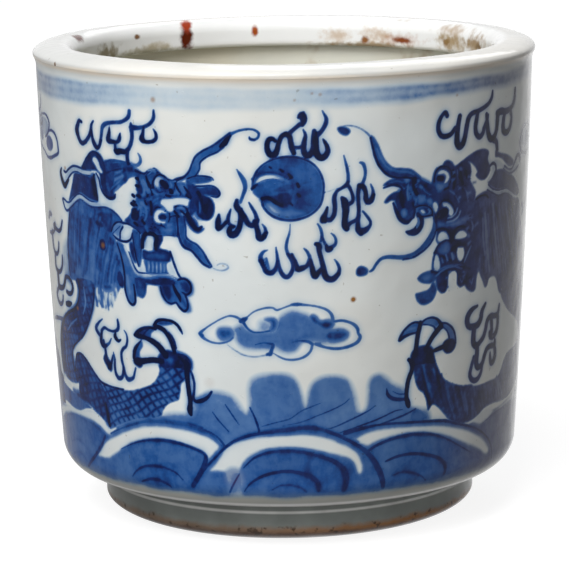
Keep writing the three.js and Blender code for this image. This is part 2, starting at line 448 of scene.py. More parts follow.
FLAMES = """
l1.02 -3,136.4,1 -3.7,137.1,1.3 -4.9,136.9,1.5 -5.5,135.3,1.5 -5.3,133.3,1.7 -4.4,132.1,1.9
 -3.2,132.2,1.9 -2.5,133.6,1.6 -2,135.6,1.4 -1.1,137.8,1.4 0.3,138.7,1.4
l1.02 -0.2,138.5,1.4 1.2,138,1.6 1.7,136.2,1.6 2,134.3,1.7 2.6,132.6,1.4
l0.86 0.9,138.4,1.5 2.8,140.2,1.2 4.6,141.6,1.4
l0.98 4.2,143.8,1 5.2,144.4,2.2 5.7,142.8,1.9 5.3,141.4,1.2
l0.9 5.6,145.3,0.9 5.9,143,1
l0.9 2.6,134.4,1 4.2,134.3,1.1 5.4,134.8,1
l0.95 5.5,139.9,0.5 6.2,138.2,1 5.8,135.8,1.5 5.6,133.5,1.7 6.4,131.8,1.9 7.6,132,1.8 8.5,134.2,1.5
 8.7,137,1.6 8.9,139.4,1.3
l1.02 9.4,138.6,1.5 9.3,135.6,1.8 9.5,132.6,2 10.6,131,2 12,131.2,1.8 13,132.8,1.6 12.7,134.6,1.3
 12,136,0.9 11.5,136.8,0.4
l0.86 9.7,138,1.6 11.2,139.4,1.3 12.4,141.6,1.3 12.5,143.4,1.1 11.4,145.7,0.4
l0.7 -15,127.4,0.4 -13.9,125.7,1.1 -12.8,123.7,1.5 -12.5,121.5,1.3 -13.3,119,1 -14.1,117,1
l0.98 -15.2,117.6,1 -15.3,115.8,1.8 -14.3,114.2,1.9 -13,112.2,1.8 -11.8,110.2,1.7 -10.4,109.6,1.6
 -9.3,110.6,1.6 -8.9,111.4,1.3
l0.85 -9,111.6,1.3 -9.6,113.6,1.1 -10.6,115.4,0.9 -11.4,116.9,0.5
l0.95 -14.2,114.6,1.6 -14.1,111.6,1.6 -14.6,109,1.7 -15.8,107,2 -17.2,106.6,2.2 -17.8,107.8,1.7
 -17.2,109.2,1.4 -16.2,109.2,1
l0.88 -16.6,109,1.2 -18,110.3,1.2 -18,112.2,1.2 -17.2,114.7,0.5
l1 -21,112.8,0.8 -21.2,111.2,1.6 -21.4,109.4,1.8 -21.3,108.4,1.6 -20,109.2,1.2 -18.8,110.4,1.3
 -18,110.8,1
l1 -9.7,110.8,1.6 -8.9,108,1.6 -8.4,105.6,1.9 -7.2,105.9,1.7 -6.3,107.3,1.3
l0.8 -6.3,107.3,1.2 -6.6,108.8,0.9 -7.4,110,0.4
l0.78 18,131.3,0.4 18.7,128.6,0.8 19.3,125.6,1 19.4,123.2,1.1
l0.9 19.4,123,1.1 18.8,121.8,1.3 17.4,121,1 15.8,120,1 15,118,1.4 15.2,115,1.4 14.8,112.4,1.4
 13.6,110.9,1.4 12.4,111.2,1.6 11.3,110.8,1.7
l1 12.8,115,0.7 12.2,113,1.4 11.6,111.4,2.1 12,110.8,1.6
l0.88 19.2,122,1.2 20.2,120.2,1 20.9,118,1.1 20.7,116.4,1.2 19.6,115.8,1.4
l1.02 17.4,117.9,1 18.3,116.4,2.2 18.6,113.8,2.1 18.4,111.2,1.8 18.3,109,1.9 18.9,107.9,1.7
l0.9 19,108.8,1.6 20.4,109.8,1.2 22.2,110.7,1.3 22.8,112.8,1.2 22.7,116,1.2 22.6,119,1.3
 23,121.3,1.6
l0.72 23.2,128.8,0.7 24.2,128.3,1.1 24.9,126,1 24.6,123.6,1 23.8,121.8,1.2
l0.98 23,121.4,1.6 24.2,121,1.6 25,119.2,1.4 25.1,117.3,1.6 25.7,116.2,1.8 26.8,116.4,1.7
 27.5,118.2,1.3
l0.8 27.5,118.2,1.2 27.3,120,0.9 26.6,121.8,0.4
l0.92 22.8,112,1.3 22.5,109.6,1.4 22.7,107.4,1.8 23.6,106.4,2
l0.85 23.4,106.8,2.1 24.8,107,1.9 26.4,108.3,1.1 26.6,109.8,0.9 25.4,111.6,0.9 24.1,113.2,0.6
l0.7 1.2,110,0.3 1,107.4,0.6 0.2,104.6,0.9 -0.1,102.4,1 0.4,100.4,1.1
l0.86 0.4,100.4,1.1 1.6,98.4,1.3 2,96.2,1.2 1.3,94.2,1.3 0.2,93,1.4 -1,93.4,1.4 -2.1,95.2,1.3
 -2.7,97.4,1.2
l0.8 -2.6,97,1.2 -2.9,99.4,1 -3.3,102.6,0.4
l0.88 -2.8,98,1.2 -3.4,95.8,1.3 -4.8,94.4,1.6 -6.4,94.8,1.6 -7.3,96.6,1.4 -8,98.4,1.6
l0.75 -8,98.4,1.7 -8.1,99.8,1.3 -7.2,101.2,0.9 -5.9,101.7,0.4
l0.6 -6.4,99,0.9 -6.1,97,1.2 -5.8,95.4,1.2
l0.92 1.6,100.2,1 2.6,98,1.2 3.4,95.6,1.8 4.8,95.8,1.7 6.2,96.4,1.3 7,97.6,1.3
l0.76 7,98,1.3 7.2,99.2,1.1 6.4,101,0.9 5.4,102.1,0.4
l0.97 7.4,98.4,1.1 7.9,96,1.5 8.4,93.8,1.9 9,93,1.7 10,94.4,1.5 10.9,95.2,1.4
l0.72 9.7,109.9,0.5 10.6,108.4,0.9 11.1,106,1 10.8,104.4,1.1
l0.95 9.2,103.4,1.2 10.1,102.9,1.8 10.2,101,1.5 10.8,98.6,1.4 11.4,96,1.6 11.9,93.4,1.9 13,92,1.9
 14.6,91.9,1.8 16.2,93.4,1.4
l0.82 16.2,93.4,1.4 16.6,95,1.1 16,96.8,0.8 15,98.2,0.4
l0.8 11,105.6,1 11.8,103.8,1 12.6,102.4,1
l1 12.4,102.8,1 13,101.5,1.8 13.8,101.8,1.6
l0.78 13.8,102,1.4 15.2,103,1.1 15.5,104.4,0.9 14.9,105.8,0.7 13.9,106.7,0.3
"""

# The left dragon's head and mane
WHISKERS = """
w0.55 -33.5,123 -31,124.2 -28.6,124.6 -27,127.2 -26.4,130 -24,131.6 -21,133 -19,134.6 -17.6,137
 -19.5,137 -22.5,134.9 -26,132.9 -28.4,131 -29.4,128.4 -31,126
l0.85 -34.6,123.4,1.2 -32.2,124.4,1 -30.4,126.2,0.9 -29.4,128.4,0.8 -28.2,130.9,0.9 -25.8,132.9,0.9
 -22.4,134.7,0.9 -19.4,136.9,1 -16.8,138.8,1.1
l0.85 -28.6,124.6,0.8 -27,127,0.8 -26.6,129.4,0.8 -24.2,131.4,0.8 -21.2,132.8,0.9 -19,134.5,1
l1.05 -20,134.6,1.2 -18.7,135.6,2 -17.8,136.9,1.6 -16.8,138,1
l0.72 -17,138.4,1.3 -14.4,139.6,0.9 -11.6,140.2,0.8 -9.4,140,0.8 -8,138.9,0.9 -8.3,137.5,0.9
 -9.4,136.8,0.9
l0.88 -9.4,136.8,0.9 -10.6,137.1,1 -10.9,137.8,0.4
w0.62 -34.8,112.4 -34.6,108 -34,104.4 -32.6,102 -30.4,101 -28.6,99 -26.4,96.8 -24,95.6 -25,98
 -26.8,100.8 -28.8,102.8 -31,103.8 -32.4,105 -32.4,108 -32.4,111.4
l0.9 -35,112.6,1.2 -34.9,108,1 -34.4,104.6,1.1 -33,102,1.2 -30.6,101,1 -28.8,99.2,1 -26.8,97,1.1
 -24.6,95.8,0.9
l0.86 -32.6,111.8,1 -32.2,108,0.8 -32.2,105.2,0.9 -30.8,103.9,0.9 -28.6,102.8,0.9 -26.7,100.7,0.9
 -25.2,98,1 -24,96.2,0.8
l0.4 -24.2,96,0.7 -22.4,95.1,0.6 -20.2,94.9,0.7 -18.5,95.8,0.8 -19.2,96.9,0.6 -21,97.1,0.5
 -22.1,96.5,0.5
"""

NOSE_FLAMES = """
w0.72 -30.5,124 -28.5,124.8 -26.5,124.9 -24,124.8 -22.7,124 -24,123.2 -26.5,122.7 -28.5,122.5
 -30,122.6
w0.78 -29,121.8 -27,121.2 -25,121.8 -22.8,121.8 -21.2,120.8 -20.7,119.4 -21.4,118.7 -24,118.8
 -26.5,119 -28.6,119.6
w0.98 -27,119 -24.6,118.6 -22.9,117.2 -22.3,115 -23,112.3 -24.6,110.9 -26.6,111.1 -28.2,112.4
 -28.6,114.5 -28,117
s1.2 -26.6,116.5 -24.5,117 -23.4,114.8 -24.5,112.4 -26.5,112.6 -27.4,114.4
l0.95 -31,124,0.8 -28.4,124.9,0.7 -25.8,125,0.7 -23.2,124.6,0.7 -22.5,123.9,0.5
l0.95 -28.4,121.6,0.8 -26,121.8,0.7 -23.2,122,0.7 -21.2,120.9,0.8 -20.6,119.4,0.8 -21.5,118.5,0.7
 -23.4,118.7,0.6
k0.55 -27.4,117.4,0.5 -27.1,115.2,0.8 -27.2,113,0.5
l0.95 -31.3,113,1.5 -30.2,110.3,2.2 -29,108.4,1.9 -27.8,108,1.5 -26.8,108.7,1
w0.82 -31.2,123.8 -29,122.5 -27.6,121 -26.4,119 -27.2,116.4 -28.4,113.6 -30.4,112 -31,115.4
 -30.2,118 -31.4,121
"""

LEFT_HEAD = """
w0.7 -49.4,126 -47,124.9 -45,124.6 -43,126 -41.6,126.4 -40,125 -37.5,123.6 -35,122.6 -32,122.6
 -30.6,121 -30,117.6 -30.6,114 -34,112.4 -35.2,109 -35.4,105.4 -38,105.4 -41.3,105.2 -43,105.6
 -45.5,105.9 -48,104.8 -50,106 -52.4,107.2 -55,108.6 -53.4,110.4 -51.6,112.6 -50.6,115 -49.8,117
 -49.4,120 -49.6,123
w0.7 -63.4,127.1 -59.7,128.1 -54.7,127.9 -51.3,127.5 -49.3,125.6 -46,124.8 -46.2,123.8 -49,123.6
 -52.2,122.7 -53.8,121 -57.6,119.4 -59,117.4 -58.6,115.9 -60.9,115.4 -63.8,116.5 -65,119.2
 -64.6,123.8
s0.95 -53.6,127 -50.4,127 -49.6,124.4 -52,123.8 -53.8,125
l0.92 -64.8,118,0.9 -63.4,116.3,1.2 -61.2,115.4,1.4 -59.2,115.8,1.3 -58.5,116.9,0.8
l0.82 -63,126.8,0.8 -59.6,128,0.7 -55,127.9,0.8 -51.6,127.4,0.9
c0.04 -52.2,122.5 -49.9,123 -50.1,121 -49.5,118 -50.1,116.2 -50.9,115 -51.6,113.6 -52.3,112
 -53.3,110.6 -54.6,109.6 -56,110 -57.2,111.4 -59.7,112.7 -62.6,113.1 -60.8,114.4 -58.4,115.1
 -57.9,116.4 -58,117.8 -57.4,118.8 -55.5,120 -53.4,121.2
w0.92 -49.3,123.4 -47.5,123.5 -46.9,121 -47.1,118 -47.7,116.2 -49.5,116.4 -49.2,118.4 -49.8,119.6
 -49.1,121
l1.15 -49.6,123,1 -48.8,122.8,1.4
l1.15 -49.6,120.6,1.1 -48.8,120.4,1.4
l1.15 -49.4,117.4,1.1 -48.6,117.2,1.5
k0.42 -46.8,122.8,0.6 -46.5,120.4,0.9 -46.7,118,0.6
l1 -45.7,123.8,1 -45,121.4,1.4 -45.2,118.6,1.4 -45.7,116.8,1
l1 -43.1,122.4,1.1 -43.3,120.2,1.2 -43.8,118,1
k0.45 -44.3,122.6,0.4 -44.1,120.6,0.6 -44.5,118.6,0.4
l0.66 -50.5,127.2,0.8 -48.7,127,0.7 -47.6,128.3,0.9 -47.5,129.5,0.8 -48.2,130.8,0.4
l0.8 -52.5,130.8,1.2 -52.6,129.4,1.4 -52.8,128,1.4
l0.9 -49.6,125.4,1.4 -46.4,124.6,1 -44.6,125.8,0.8 -42.4,126.5,0.8 -41,125.4,0.8 -38.8,123.9,0.8
 -36.3,123.1,0.8 -34.6,123.8,0.8 -32.6,124.3,0.8
l0.85 -45,123.8,0.6 -43,125.3,0.6 -41.4,125.2,0.5
k0.4 -44.4,125.1,0.3 -42.9,126,0.6 -41.8,125.7,0.4
c0.05 -42.7,121.8 -42.5,123.1 -41.6,124 -40.4,124.1 -39.4,123.4 -40.5,122.8 -40.9,121.6 -40.4,120.5
 -41.4,120.1 -42.4,120.8
w1.2 -40.5,122.2 -39.8,123 -38.4,123 -37.5,122 -37.8,121 -39.2,120.8 -40.2,121.3
l1 -42.9,120.6,0.7 -43.1,122.2,0.8 -42.2,123.9,0.8 -40.8,124.7,0.7 -39,124.3,0.8 -37.5,123.2,0.7
k0.42 -37,122.5,0.4 -36.5,121.4,0.7 -36.9,120.4,0.4
k0.42 -35.3,121.8,0.4 -34.6,120.4,0.8 -34.3,119.4,0.4
k0.42 -33.4,122.4,0.4 -32.7,121,0.8 -32.5,119.8,0.5
k0.45 -31.4,121.6,0.4 -31,120.2,0.7 -31.2,119,0.4
l1.1 -37.2,120.2,1 -36.6,119.8,1.3
l0.9 -42.2,119.6,0.6 -40.8,119,0.6 -39.2,119.6,0.6 -38.2,119,0.5
l0.85 -41.8,118.2,0.6 -40,117.6,0.7 -38.6,118,0.5
k0.5 -43.4,118.9,0.4 -41.6,118.5,0.5 -40,118.6,0.4
k0.5 -43.6,115.6,0.5 -42.6,116.6,0.6 -41.4,117.1,0.4
k0.5 -43.4,114.6,0.4 -42.6,115.3,0.5 -41.8,115.6,0.3
l1 -38.6,118.3,1.1 -37.2,117.9,1.2
l0.95 -34.9,122.5,0.7 -35.6,120.6,0.7 -34.9,119,0.8 -33.6,118.6,0.7
l1 -32.2,121.8,0.6 -31.9,119.5,1.1 -30.8,118,1.3 -29.9,117.6,0.8
c0.08 -39.4,115.9 -38,116.7 -36,117.3 -33,117.6 -30.8,117.3 -30.2,116.2 -31.6,115.7 -34,115.7
 -36,115.1 -38,115.1
l0.85 -41.2,116.4,0.5 -38.4,117.7,0.6 -35,118.1,0.6 -31.6,118.1,0.7
l0.95 -36.6,113.9,0.8 -35.2,115,0.8 -33.2,115.3,0.8 -31.6,114.3,1 -31,112.6,1.1
k0.3 -34.9,114.3,0.5 -33.4,114.6,0.7 -32.2,113.8,0.4
l1.05 -36,113.4,1.1 -35.1,112.4,1.1 -34.3,111.6,0.9
l1.05 -33.7,113.6,0.8 -32.6,112.8,0.8 -31.6,112,1 -31.3,111.2,0.8
c0.04 -43.4,110.4 -43.2,112 -42.3,113.2 -40.8,113.6 -39.2,113.2 -38.6,112.3 -40.4,112.5 -41.5,111.7
 -41.6,110.5 -40.6,109.8 -39.2,109.8 -39.6,109 -41.4,108.9 -42.8,109.3
w1.25 -41.6,111.4 -40.6,112.1 -39.2,112 -38.6,111.2 -39,110.3 -40.6,110.1 -41.5,110.5
l0.95 -44,111.6,0.7 -42.9,113.6,0.8 -41,114.4,0.8 -39,113.9,0.8 -37.7,112.5,0.8 -37.6,110.9,0.8
 -38.3,109.4,0.7
l0.9 -44.1,110.4,0.7 -43.4,108.9,0.7 -41.8,108.2,0.7 -39.6,108.2,0.7
w1.2 -52.2,111.6 -51.6,113.1 -50.2,113.4 -49,112.6 -48.8,110.6 -49.6,109.2 -51.2,109 -52.3,110
l1.2 -51,115.4,1 -50.5,115.2,1.1
l1.15 -49.9,114.4,1.2 -49.2,114.2,1.1
l1.15 -48.1,116,0.8 -47.6,115.8,0.9
l1.15 -47.9,109.4,1.2 -47.1,108.6,1.3
v0.32 -48.4,115.4 -47.4,115.8 -46.6,115 -47.2,114.1 -48.2,114.4
v0.38 -46.6,113.8 -45.5,114.2 -45,113 -46,112.2
v0.38 -47.8,112.9 -46.9,113 -46.6,111.4 -47.6,111.2
l1.1 -46.5,115.7,0.9 -45.9,114.8,0.9
l1.1 -46.5,111.5,1 -46.1,110.4,1
l1.05 -44.4,116,1.2 -44.1,113.8,1.3 -44.2,111.6,1.2
l0.9 -48.6,107.6,0.8 -46,106.9,0.7 -43,107.4,0.7 -40.4,107,0.6
v0.5 -42.5,106.9 -40,107.6 -37.2,107.8 -36.8,106.5 -39.6,106.2
l0.95 -37.2,111.4,0.8 -35.6,111.8,0.7 -35,110,0.7 -35,107.4,0.8 -35.1,105.2,0.8
l0.85 -41,105.1,0.7 -38.4,105.4,0.6 -35.4,105.3,0.7
c0.08 -47.7,100.7 -47.3,102.4 -46.3,103.4 -45.2,103.4 -44.3,102.4 -44,100.8 -45.2,100 -46.8,100.1
l1.05 -48.3,100.8,1.5 -48,103.4,1.6 -46.6,105.3,1.8 -44.2,105.4,1.7 -42.7,104.2,1.7 -43.3,102,1.5
 -43.1,100.2,1.4
w0.95 -48.2,99.8 -46,99.5 -43.6,100 -42.4,100.9 -41,100.7 -38.8,100.3 -37.6,99.2 -37.9,97.6
 -38.8,96.6 -43,96.4 -47.6,96.6 -48.6,97.6
s0.72 -46.6,98.8 -41,98.8 -39.4,98.2 -41,97.6 -46,97.6
w0.6 -47.8,97 -43,96.8 -39,96.8 -39,94.6 -39.6,92.6 -43,92.2 -47,92.4 -47.6,94.4
k0.2 -46.2,96.2,0.4 -46.1,94.6,0.7 -46.3,93,0.5
k0.2 -44.7,96.2,0.4 -44.6,94.6,0.7 -44.8,92.8,0.5
k0.2 -43.1,96.2,0.4 -43.1,94.6,0.7 -43.2,92.8,0.5
k0.2 -41.6,96.2,0.4 -41.6,94.6,0.7 -41.8,92.9,0.5
k0.24 -40.3,95.8,0.3 -40.3,94.4,0.5 -40.5,93.2,0.4
c0.08 -50.2,92.7 -49.4,94.4 -48.6,95.3 -47.8,94.7 -47.4,93.2 -48,92.3 -49.4,92.1
c0.08 -39.4,96 -38.4,96.5 -37.4,94.8 -36.7,92.9 -37.4,92.3 -38.8,92.9 -39.4,94.2
l0.98 -38,100,0.9 -37.1,97.4,0.9 -36.1,94.6,0.8 -35,92.3,0.8 -34,91.4,0.8
w0.58 -58.8,101.3 -56.4,100.8 -55,99.6 -53.6,96.6 -51.9,93.4 -50.6,91.9 -47,91.4 -42.6,92.2
 -38.6,92.5 -35.8,91.4 -34.6,89.8 -37,88.8 -41.8,88.7 -45.6,88.7 -47.4,88.2 -47.8,85.4 -49.2,84
 -51.6,84.2 -52.2,82.7 -53.4,81.6 -54.8,81.9 -56,83.8 -56.6,86.6 -57,90 -58,94 -59.4,98
w0.9 -51.6,91 -47,90.5 -42.6,91.2 -38.6,91.3 -36,90 -37.6,88.9 -41.6,88.7 -45.4,88.7 -48.4,89.2
w0.9 -52.2,90.4 -51.8,86 -51,84.4 -49.2,83.9 -48,85.2 -47.5,87.4 -47.6,89.4 -49.4,90.4
k0.2 -55.6,100.2,0.9 -54,96.6,1 -52.4,93.4,1 -50.8,91.7,1 -47.4,91.3,0.9 -43,92.1,0.8
 -38.8,92.2,0.8 -36,91,0.4
c0.1 -56.2,100.4 -55.2,100.4 -53.9,98 -53.2,96.2 -54,96.8 -55.4,98.8
k0.36 -55.3,91,0.8 -54.9,87.6,1.1 -54.5,84.6,0.7
l0.95 -58.9,101,0.9 -57.6,97.6,1 -56.7,94,1.1 -56.3,90,1.1 -56.4,86.4,1 -55.8,83.8,1 -54.8,82,1.1
 -53.4,81.3,1.1 -52.4,82.4,1.1 -52.3,85,1.1 -52.6,88,0.9
l0.9 -53.9,98.6,0.5 -52.6,95.4,0.7 -51.2,92.9,0.8 -49.4,92.2,0.6 -44,92.6,0.5 -39,93,0.5
w0.64 -51.9,106 -49.7,105.6 -48.9,103 -48.7,99 -49,96 -49.7,94.2 -50.4,94.8 -51.4,98 -52.1,102
w0.9 -53.4,101.6 -52,101.6 -51.6,98 -51,95.4 -52.2,95.8 -53.2,98.4
l0.95 -52,105,0.7 -51.7,101,0.9 -51,97,0.9 -50.1,94.4,0.8
l0.9 -49.3,105,0.7 -48.9,101,0.7 -49.1,97,0.7
v0.24 -60.4,104.6 -59.8,106.4 -58.2,107.4 -56.4,107.2 -57.2,105.4 -57.6,103.4 -59,103
c0.06 -57,103.2 -56.6,105 -55.4,106.4 -53.6,107 -52.3,106.4 -52.4,104.6 -53.6,103 -55.4,102.4
l0.95 -61.2,104.6,0.8 -60,106.8,0.9 -58,108,0.9 -55.6,107.9,0.9 -53.4,107.8,0.8 -50.8,106.6,0.8
 -48.8,105.2,0.9
l0.85 -60.6,104,0.5 -58.8,105.4,0.6 -57,106.8,0.5
l0.95 -57.4,102.8,0.8 -57.2,104.8,0.8 -56,106.6,0.8
l0.95 -60.6,103.6,0.7 -59,102.5,0.9 -57,101.9,0.9 -54.4,102,0.9 -52.8,103,0.8 -52,105,0.7
w0.64 -42.2,88.6 -41.6,85.8 -40.2,83.8 -38.4,83 -36.6,83.4 -35.4,82 -33.8,81 -32.6,81.6 -32.5,83.6
 -33.2,85.8 -31.8,86.6 -31,88.4 -31.2,90.4 -32.4,91.4 -34.6,91.6 -36.6,90.4 -39,89.6 -41.4,89.6
s0.9 -36.9,86.8 -35,87.2 -34.4,85 -35.6,83.9 -36.9,85
s0.9 -42,89.4 -38,89.8 -37.2,88.4 -40,87.4 -41.8,87.8
l0.95 -35.6,91,0.9 -33.8,91.6,1 -32,90.9,1.1 -31.1,89.2,1.1 -31.4,87.4,1.1 -32.8,86.5,1.1
 -34.4,87.2,0.8
l0.95 -33.2,86.2,1 -32.5,84,1 -32.6,82,1.1 -33.8,81,1.1 -35.4,82.2,1 -36.6,83.6,0.9 -38.4,83.1,0.9
 -40.2,83.9,0.9 -41.6,86,1 -42.1,88.4,0.9
k0.42 -34.4,84.2,0.4 -33.8,82.8,0.6 -33.9,82,0.3
"""

LEFT_MANE = """
w0.58 -83.4,110 -80.6,111.8 -77.9,113.2 -75.6,113.4 -73,112.6 -70.6,111.8 -67.5,111.8 -63.8,112.2
 -61.1,111.8 -58.4,110.4 -56.6,108.6 -58.6,107.6 -60.8,105.4 -60.2,103.4 -59,101 -57.8,97 -57,92
 -56.6,88 -58,86.8 -60,84 -62,81.6 -64.4,79.4 -67,78.6 -69.4,79.8 -70.4,83 -72.6,85 -77,86.6
 -80.6,86 -83,85.4 -87,86 -87.4,92 -86.8,97 -85.8,101.6 -84.6,106
s0.76 -83.6,108.6 -79,111.4 -76,112 -78,104 -80,96 -82,88 -86.6,87 -86.8,94 -85.4,102
s0.86 -71,108.4 -66,111 -60,110.8 -60.2,106 -61.6,103.4 -66,104.4 -70,105
s0.95 -63,103 -60.4,102.4 -60.2,97 -62.4,97.4
s0.2 -86,98 -91,96 -92.4,90 -91,85 -87,84
l0.9 -83.6,109.4,0.9 -85,104.8,1.1 -86.1,101,1.1 -87.1,95.5,1.1 -87.3,90,0.9 -87,86.4,0.8
"""

LEFT_HEAD_MARKS = """
c0.04 -40.7,115.2 -40.1,116.9 -37.1,117.2 -33.8,117.8 -31,117.6 -30,116.3 -30.6,114.8 -32.4,115.3
 -34.6,115.4 -36.4,114.8 -37.1,113.8 -38.2,113.1 -39,114.4
l0.85 -41.2,116.9,0.5 -38.4,117.7,0.6 -35,118.3,0.7 -31.4,118.2,0.7
l0.9 -45.6,124.2,0.6 -44,125.6,0.8 -42,125.6,0.8 -41.2,124.6,0.6
l1.2 -39.8,122.3,2 -38.4,121.2,2.2
k0.42 -46.4,122.4,0.6 -45.6,120.2,0.9 -45,118.4,0.6
l1 -45,122.5,0.9 -44,120.2,1.3 -43.4,118.2,1
v0.4 -33.6,122 -31.4,121.6 -31.2,119.8 -32.6,119.6
v0.44 -29.4,121.4 -27.4,120.4 -27.4,118.6 -28.8,119.2
c0.05 -40,115.6 -38.4,115.8 -36.6,115.4 -36,113.9 -36.9,112.9 -38.2,113.1 -39.3,114.3
l0.94 -35.4,122.4,0.8 -34.4,120.6,1.3 -33.4,119.2,1
l0.94 -32.2,121.4,0.8 -30.8,119.6,1.4 -29.8,118.2,1
k0.4 -34.3,122.2,0.5 -33.2,120.4,0.8 -32.2,119,0.6
k0.42 -30.9,121.4,0.5 -29.4,119.6,0.9 -28.2,117.4,0.6
k0.42 -27.6,118,0.5 -26.8,116,0.8 -26.8,113.8,0.5
k0.46 -48.2,123.4,0.5 -47.2,121.2,0.8 -46.8,119.2,0.5
k0.44 -43.6,119.9,0.4 -42.6,118.7,0.7 -41.4,118.1,0.4
k0.42 -44.9,125.9,0.4 -43.4,126.2,0.7 -42,125.2,0.4
k0.4 -49.6,112.6,0.4 -48.6,113.8,0.6 -47.6,113.4,0.4
l1.2 -36.9,119.9,1.5 -36.5,119.3,1.5
l1.15 -27.6,119.8,1.5 -27.1,119,1.5
s1.05 -29.4,116.3 -27.6,118.6 -25.7,119.8 -25,116.4 -26,112.3 -27.8,111.6 -29,114
w0.84 -32.4,112.2 -29.6,111.6 -28.1,110 -27.8,108.6 -26,108.3 -26.4,107.5 -28.1,106.6 -29.9,107.4
 -31,108.9 -32,110.5
k0.4 -47.8,115.2,0.5 -46.4,113.6,0.7 -46.1,111.2,0.7 -47,109.4,0.5
k0.42 -49.6,115,0.4 -48.3,113,0.6 -48.4,110.8,0.4
l1.2 -51.2,117.4,1.1 -50.6,117,1.1
l1.2 -51.8,114.6,1.2 -51,114.2,1.4
l1.15 -51,108.4,1.3 -50,107.8,1.3
w0.92 -43.6,105 -40.6,105.4 -40.6,103.4 -41.8,101.4 -42.2,100.2 -44.2,100.2 -43.3,102.4
w0.92 -48.6,104.6 -46.8,105.6 -46.6,104 -47.4,102.6 -48.4,102
v0.68 -46.4,99 -40.4,99.4 -40.2,97.4 -46,96.8
s1 -35.4,90.6 -33,91.2 -31,89.6 -31,87 -33.4,86.4 -35,88
s1 -36,86 -34.4,86.4 -32.4,84 -31.8,81.4 -33.6,81.6 -35.6,83.8
s0.92 -42,88.6 -40,89.6 -38,89 -37.4,86 -38.6,83.4 -40.6,84.4
l1.05 -37.4,89.4,0.9 -36.6,87.4,1.6 -35.4,85.6,1.6 -35,84,0.9
s1.1 -67.2,101.4 -64.2,101.4 -63.8,98 -67,97.6
"""

LEFT_MANE_MARKS = """
w1.2 -67.4,100 -66.8,101.4 -65,101.6 -64.3,100 -64.6,98 -66,97.6 -67.2,98.4
w1.1 -59.4,91.6 -58,92 -56.9,90 -56.6,87.6 -57.6,86.4 -59,87 -60,89
s0.95 -66.8,86.8 -63,87.2 -62.2,85.4 -64.4,84.4 -66.6,84.8
s0.9 -68.8,107.8 -65,107.4 -63.4,105.4 -66,104.6 -69,105.8
"""

LEFT_HORNS = """
w0.86 -79.2,121.6 -76,121.8 -70,121.6 -68.4,122.4 -67.7,121.6 -67.2,118.2 -66.6,114.6 -67,113.9
 -70,113.9 -73,114.6 -76.3,115.4 -80,114 -83,112.3 -84,112 -83,114 -81.2,117.6
s1.05 -71,121 -68,121.8 -67.2,118 -67,114.6 -69.4,114.4 -70.4,117.6
l1.05 -68.1,122.2,1.1 -67.5,118.6,1.1 -66.7,114.2,1
w0.86 -74.9,123.6 -73.2,125.6 -71.5,127.2 -70.2,128.6 -67.5,129.9 -64.7,129.4 -62.9,127 -62,123.8
 -62.4,120 -61,116.6 -63.8,117 -65,119.4 -65.3,122.6 -67.2,123.9 -70,123.6
c0.12 -68.7,127.2 -67.5,128.4 -65.7,127.4 -64.8,125.2 -63.6,123.6 -64.7,123.1 -66.3,124 -67.3,125.5
w0.7 -64,122.8 -63.2,126.6 -60.4,127.8 -58.4,126.6 -58.4,121.4 -60,118.6 -61.6,116.6 -63,117.6
 -64,120
l0.9 -74.6,123.8,0.8 -73,125.8,0.9 -71,127.9,1 -68.6,129.7,1 -66,129.6,0.9 -63.8,128,0.8
 -62.6,125.4,0.8
c0.05 -67.7,121.8 -66.5,122.4 -65.9,119.5 -64.8,117 -62.9,115.2 -60.2,114.5 -58.8,114 -60,112.9
 -63.8,113.2 -66.3,113.4 -66.6,115 -67,118.2
l0.9 -67,122.9,0.7 -65.7,121,0.8 -65.2,118.6,0.8 -64,116.8,0.9 -62,115.6,0.9
k0.08 -86,119.4,1 -84.6,119.9,1.1 -82.9,121.2,1.2 -80.2,122.7,1.3 -77.5,123.1,1.2 -73.8,122.6,1.1
 -69.6,122.7,1
k0.08 -86.1,110,0.9 -83.4,110.6,1.1 -80.6,112.4,1.2 -77.9,113.9,1.2 -76,114.2,1.1 -73.4,113.3,1.1
 -70.6,112.6,1.1 -67.5,112.7,1.1 -63.8,113.1,1.2 -60.2,113.2,1.4
l0.9 -69.6,123.6,0.6 -73.8,123.6,0.8 -77.5,124,0.8 -80.4,123.7,0.8 -83.2,122.3,0.8 -85,121.2,0.8
 -86.5,121.4,0.9
l0.88 -69.6,121.8,0.6 -73.8,121.6,0.7 -77.5,122.2,0.7 -80.2,121.7,0.7 -82.7,120.1,0.8
 -84.6,118.4,0.8
l1.05 -88.4,122,0.9 -89.2,120.5,1.6 -88.3,118.3,1.9 -86.6,116.5,2 -85.2,117.4,1.6 -83.6,118.9,1.2
l0.9 -67,113.7,0.5 -70.6,113.5,0.7 -73.4,114.3,0.8 -76,115.1,0.8 -78.2,114.8,0.8 -80.8,113.3,0.8
 -83.4,111.6,0.8 -85.4,111.2,0.7 -87.6,111.9,0.8 -88.9,111.7,1 -88.3,110.3,0.9 -87.4,108.9,0.9
 -86,108.3,0.9 -84,109,0.9
l0.85 -84,109.3,0.8 -82.2,110.2,0.8 -80.4,111.4,0.8 -77.8,112.8,0.8 -76,113.2,0.7 -73.4,112.3,0.7
 -70.6,111.6,0.8 -67.5,111.7,0.8 -63.8,112.1,0.9 -61.1,111.7,0.9 -58.4,110.4,0.9 -56.4,108.6,0.9
"""

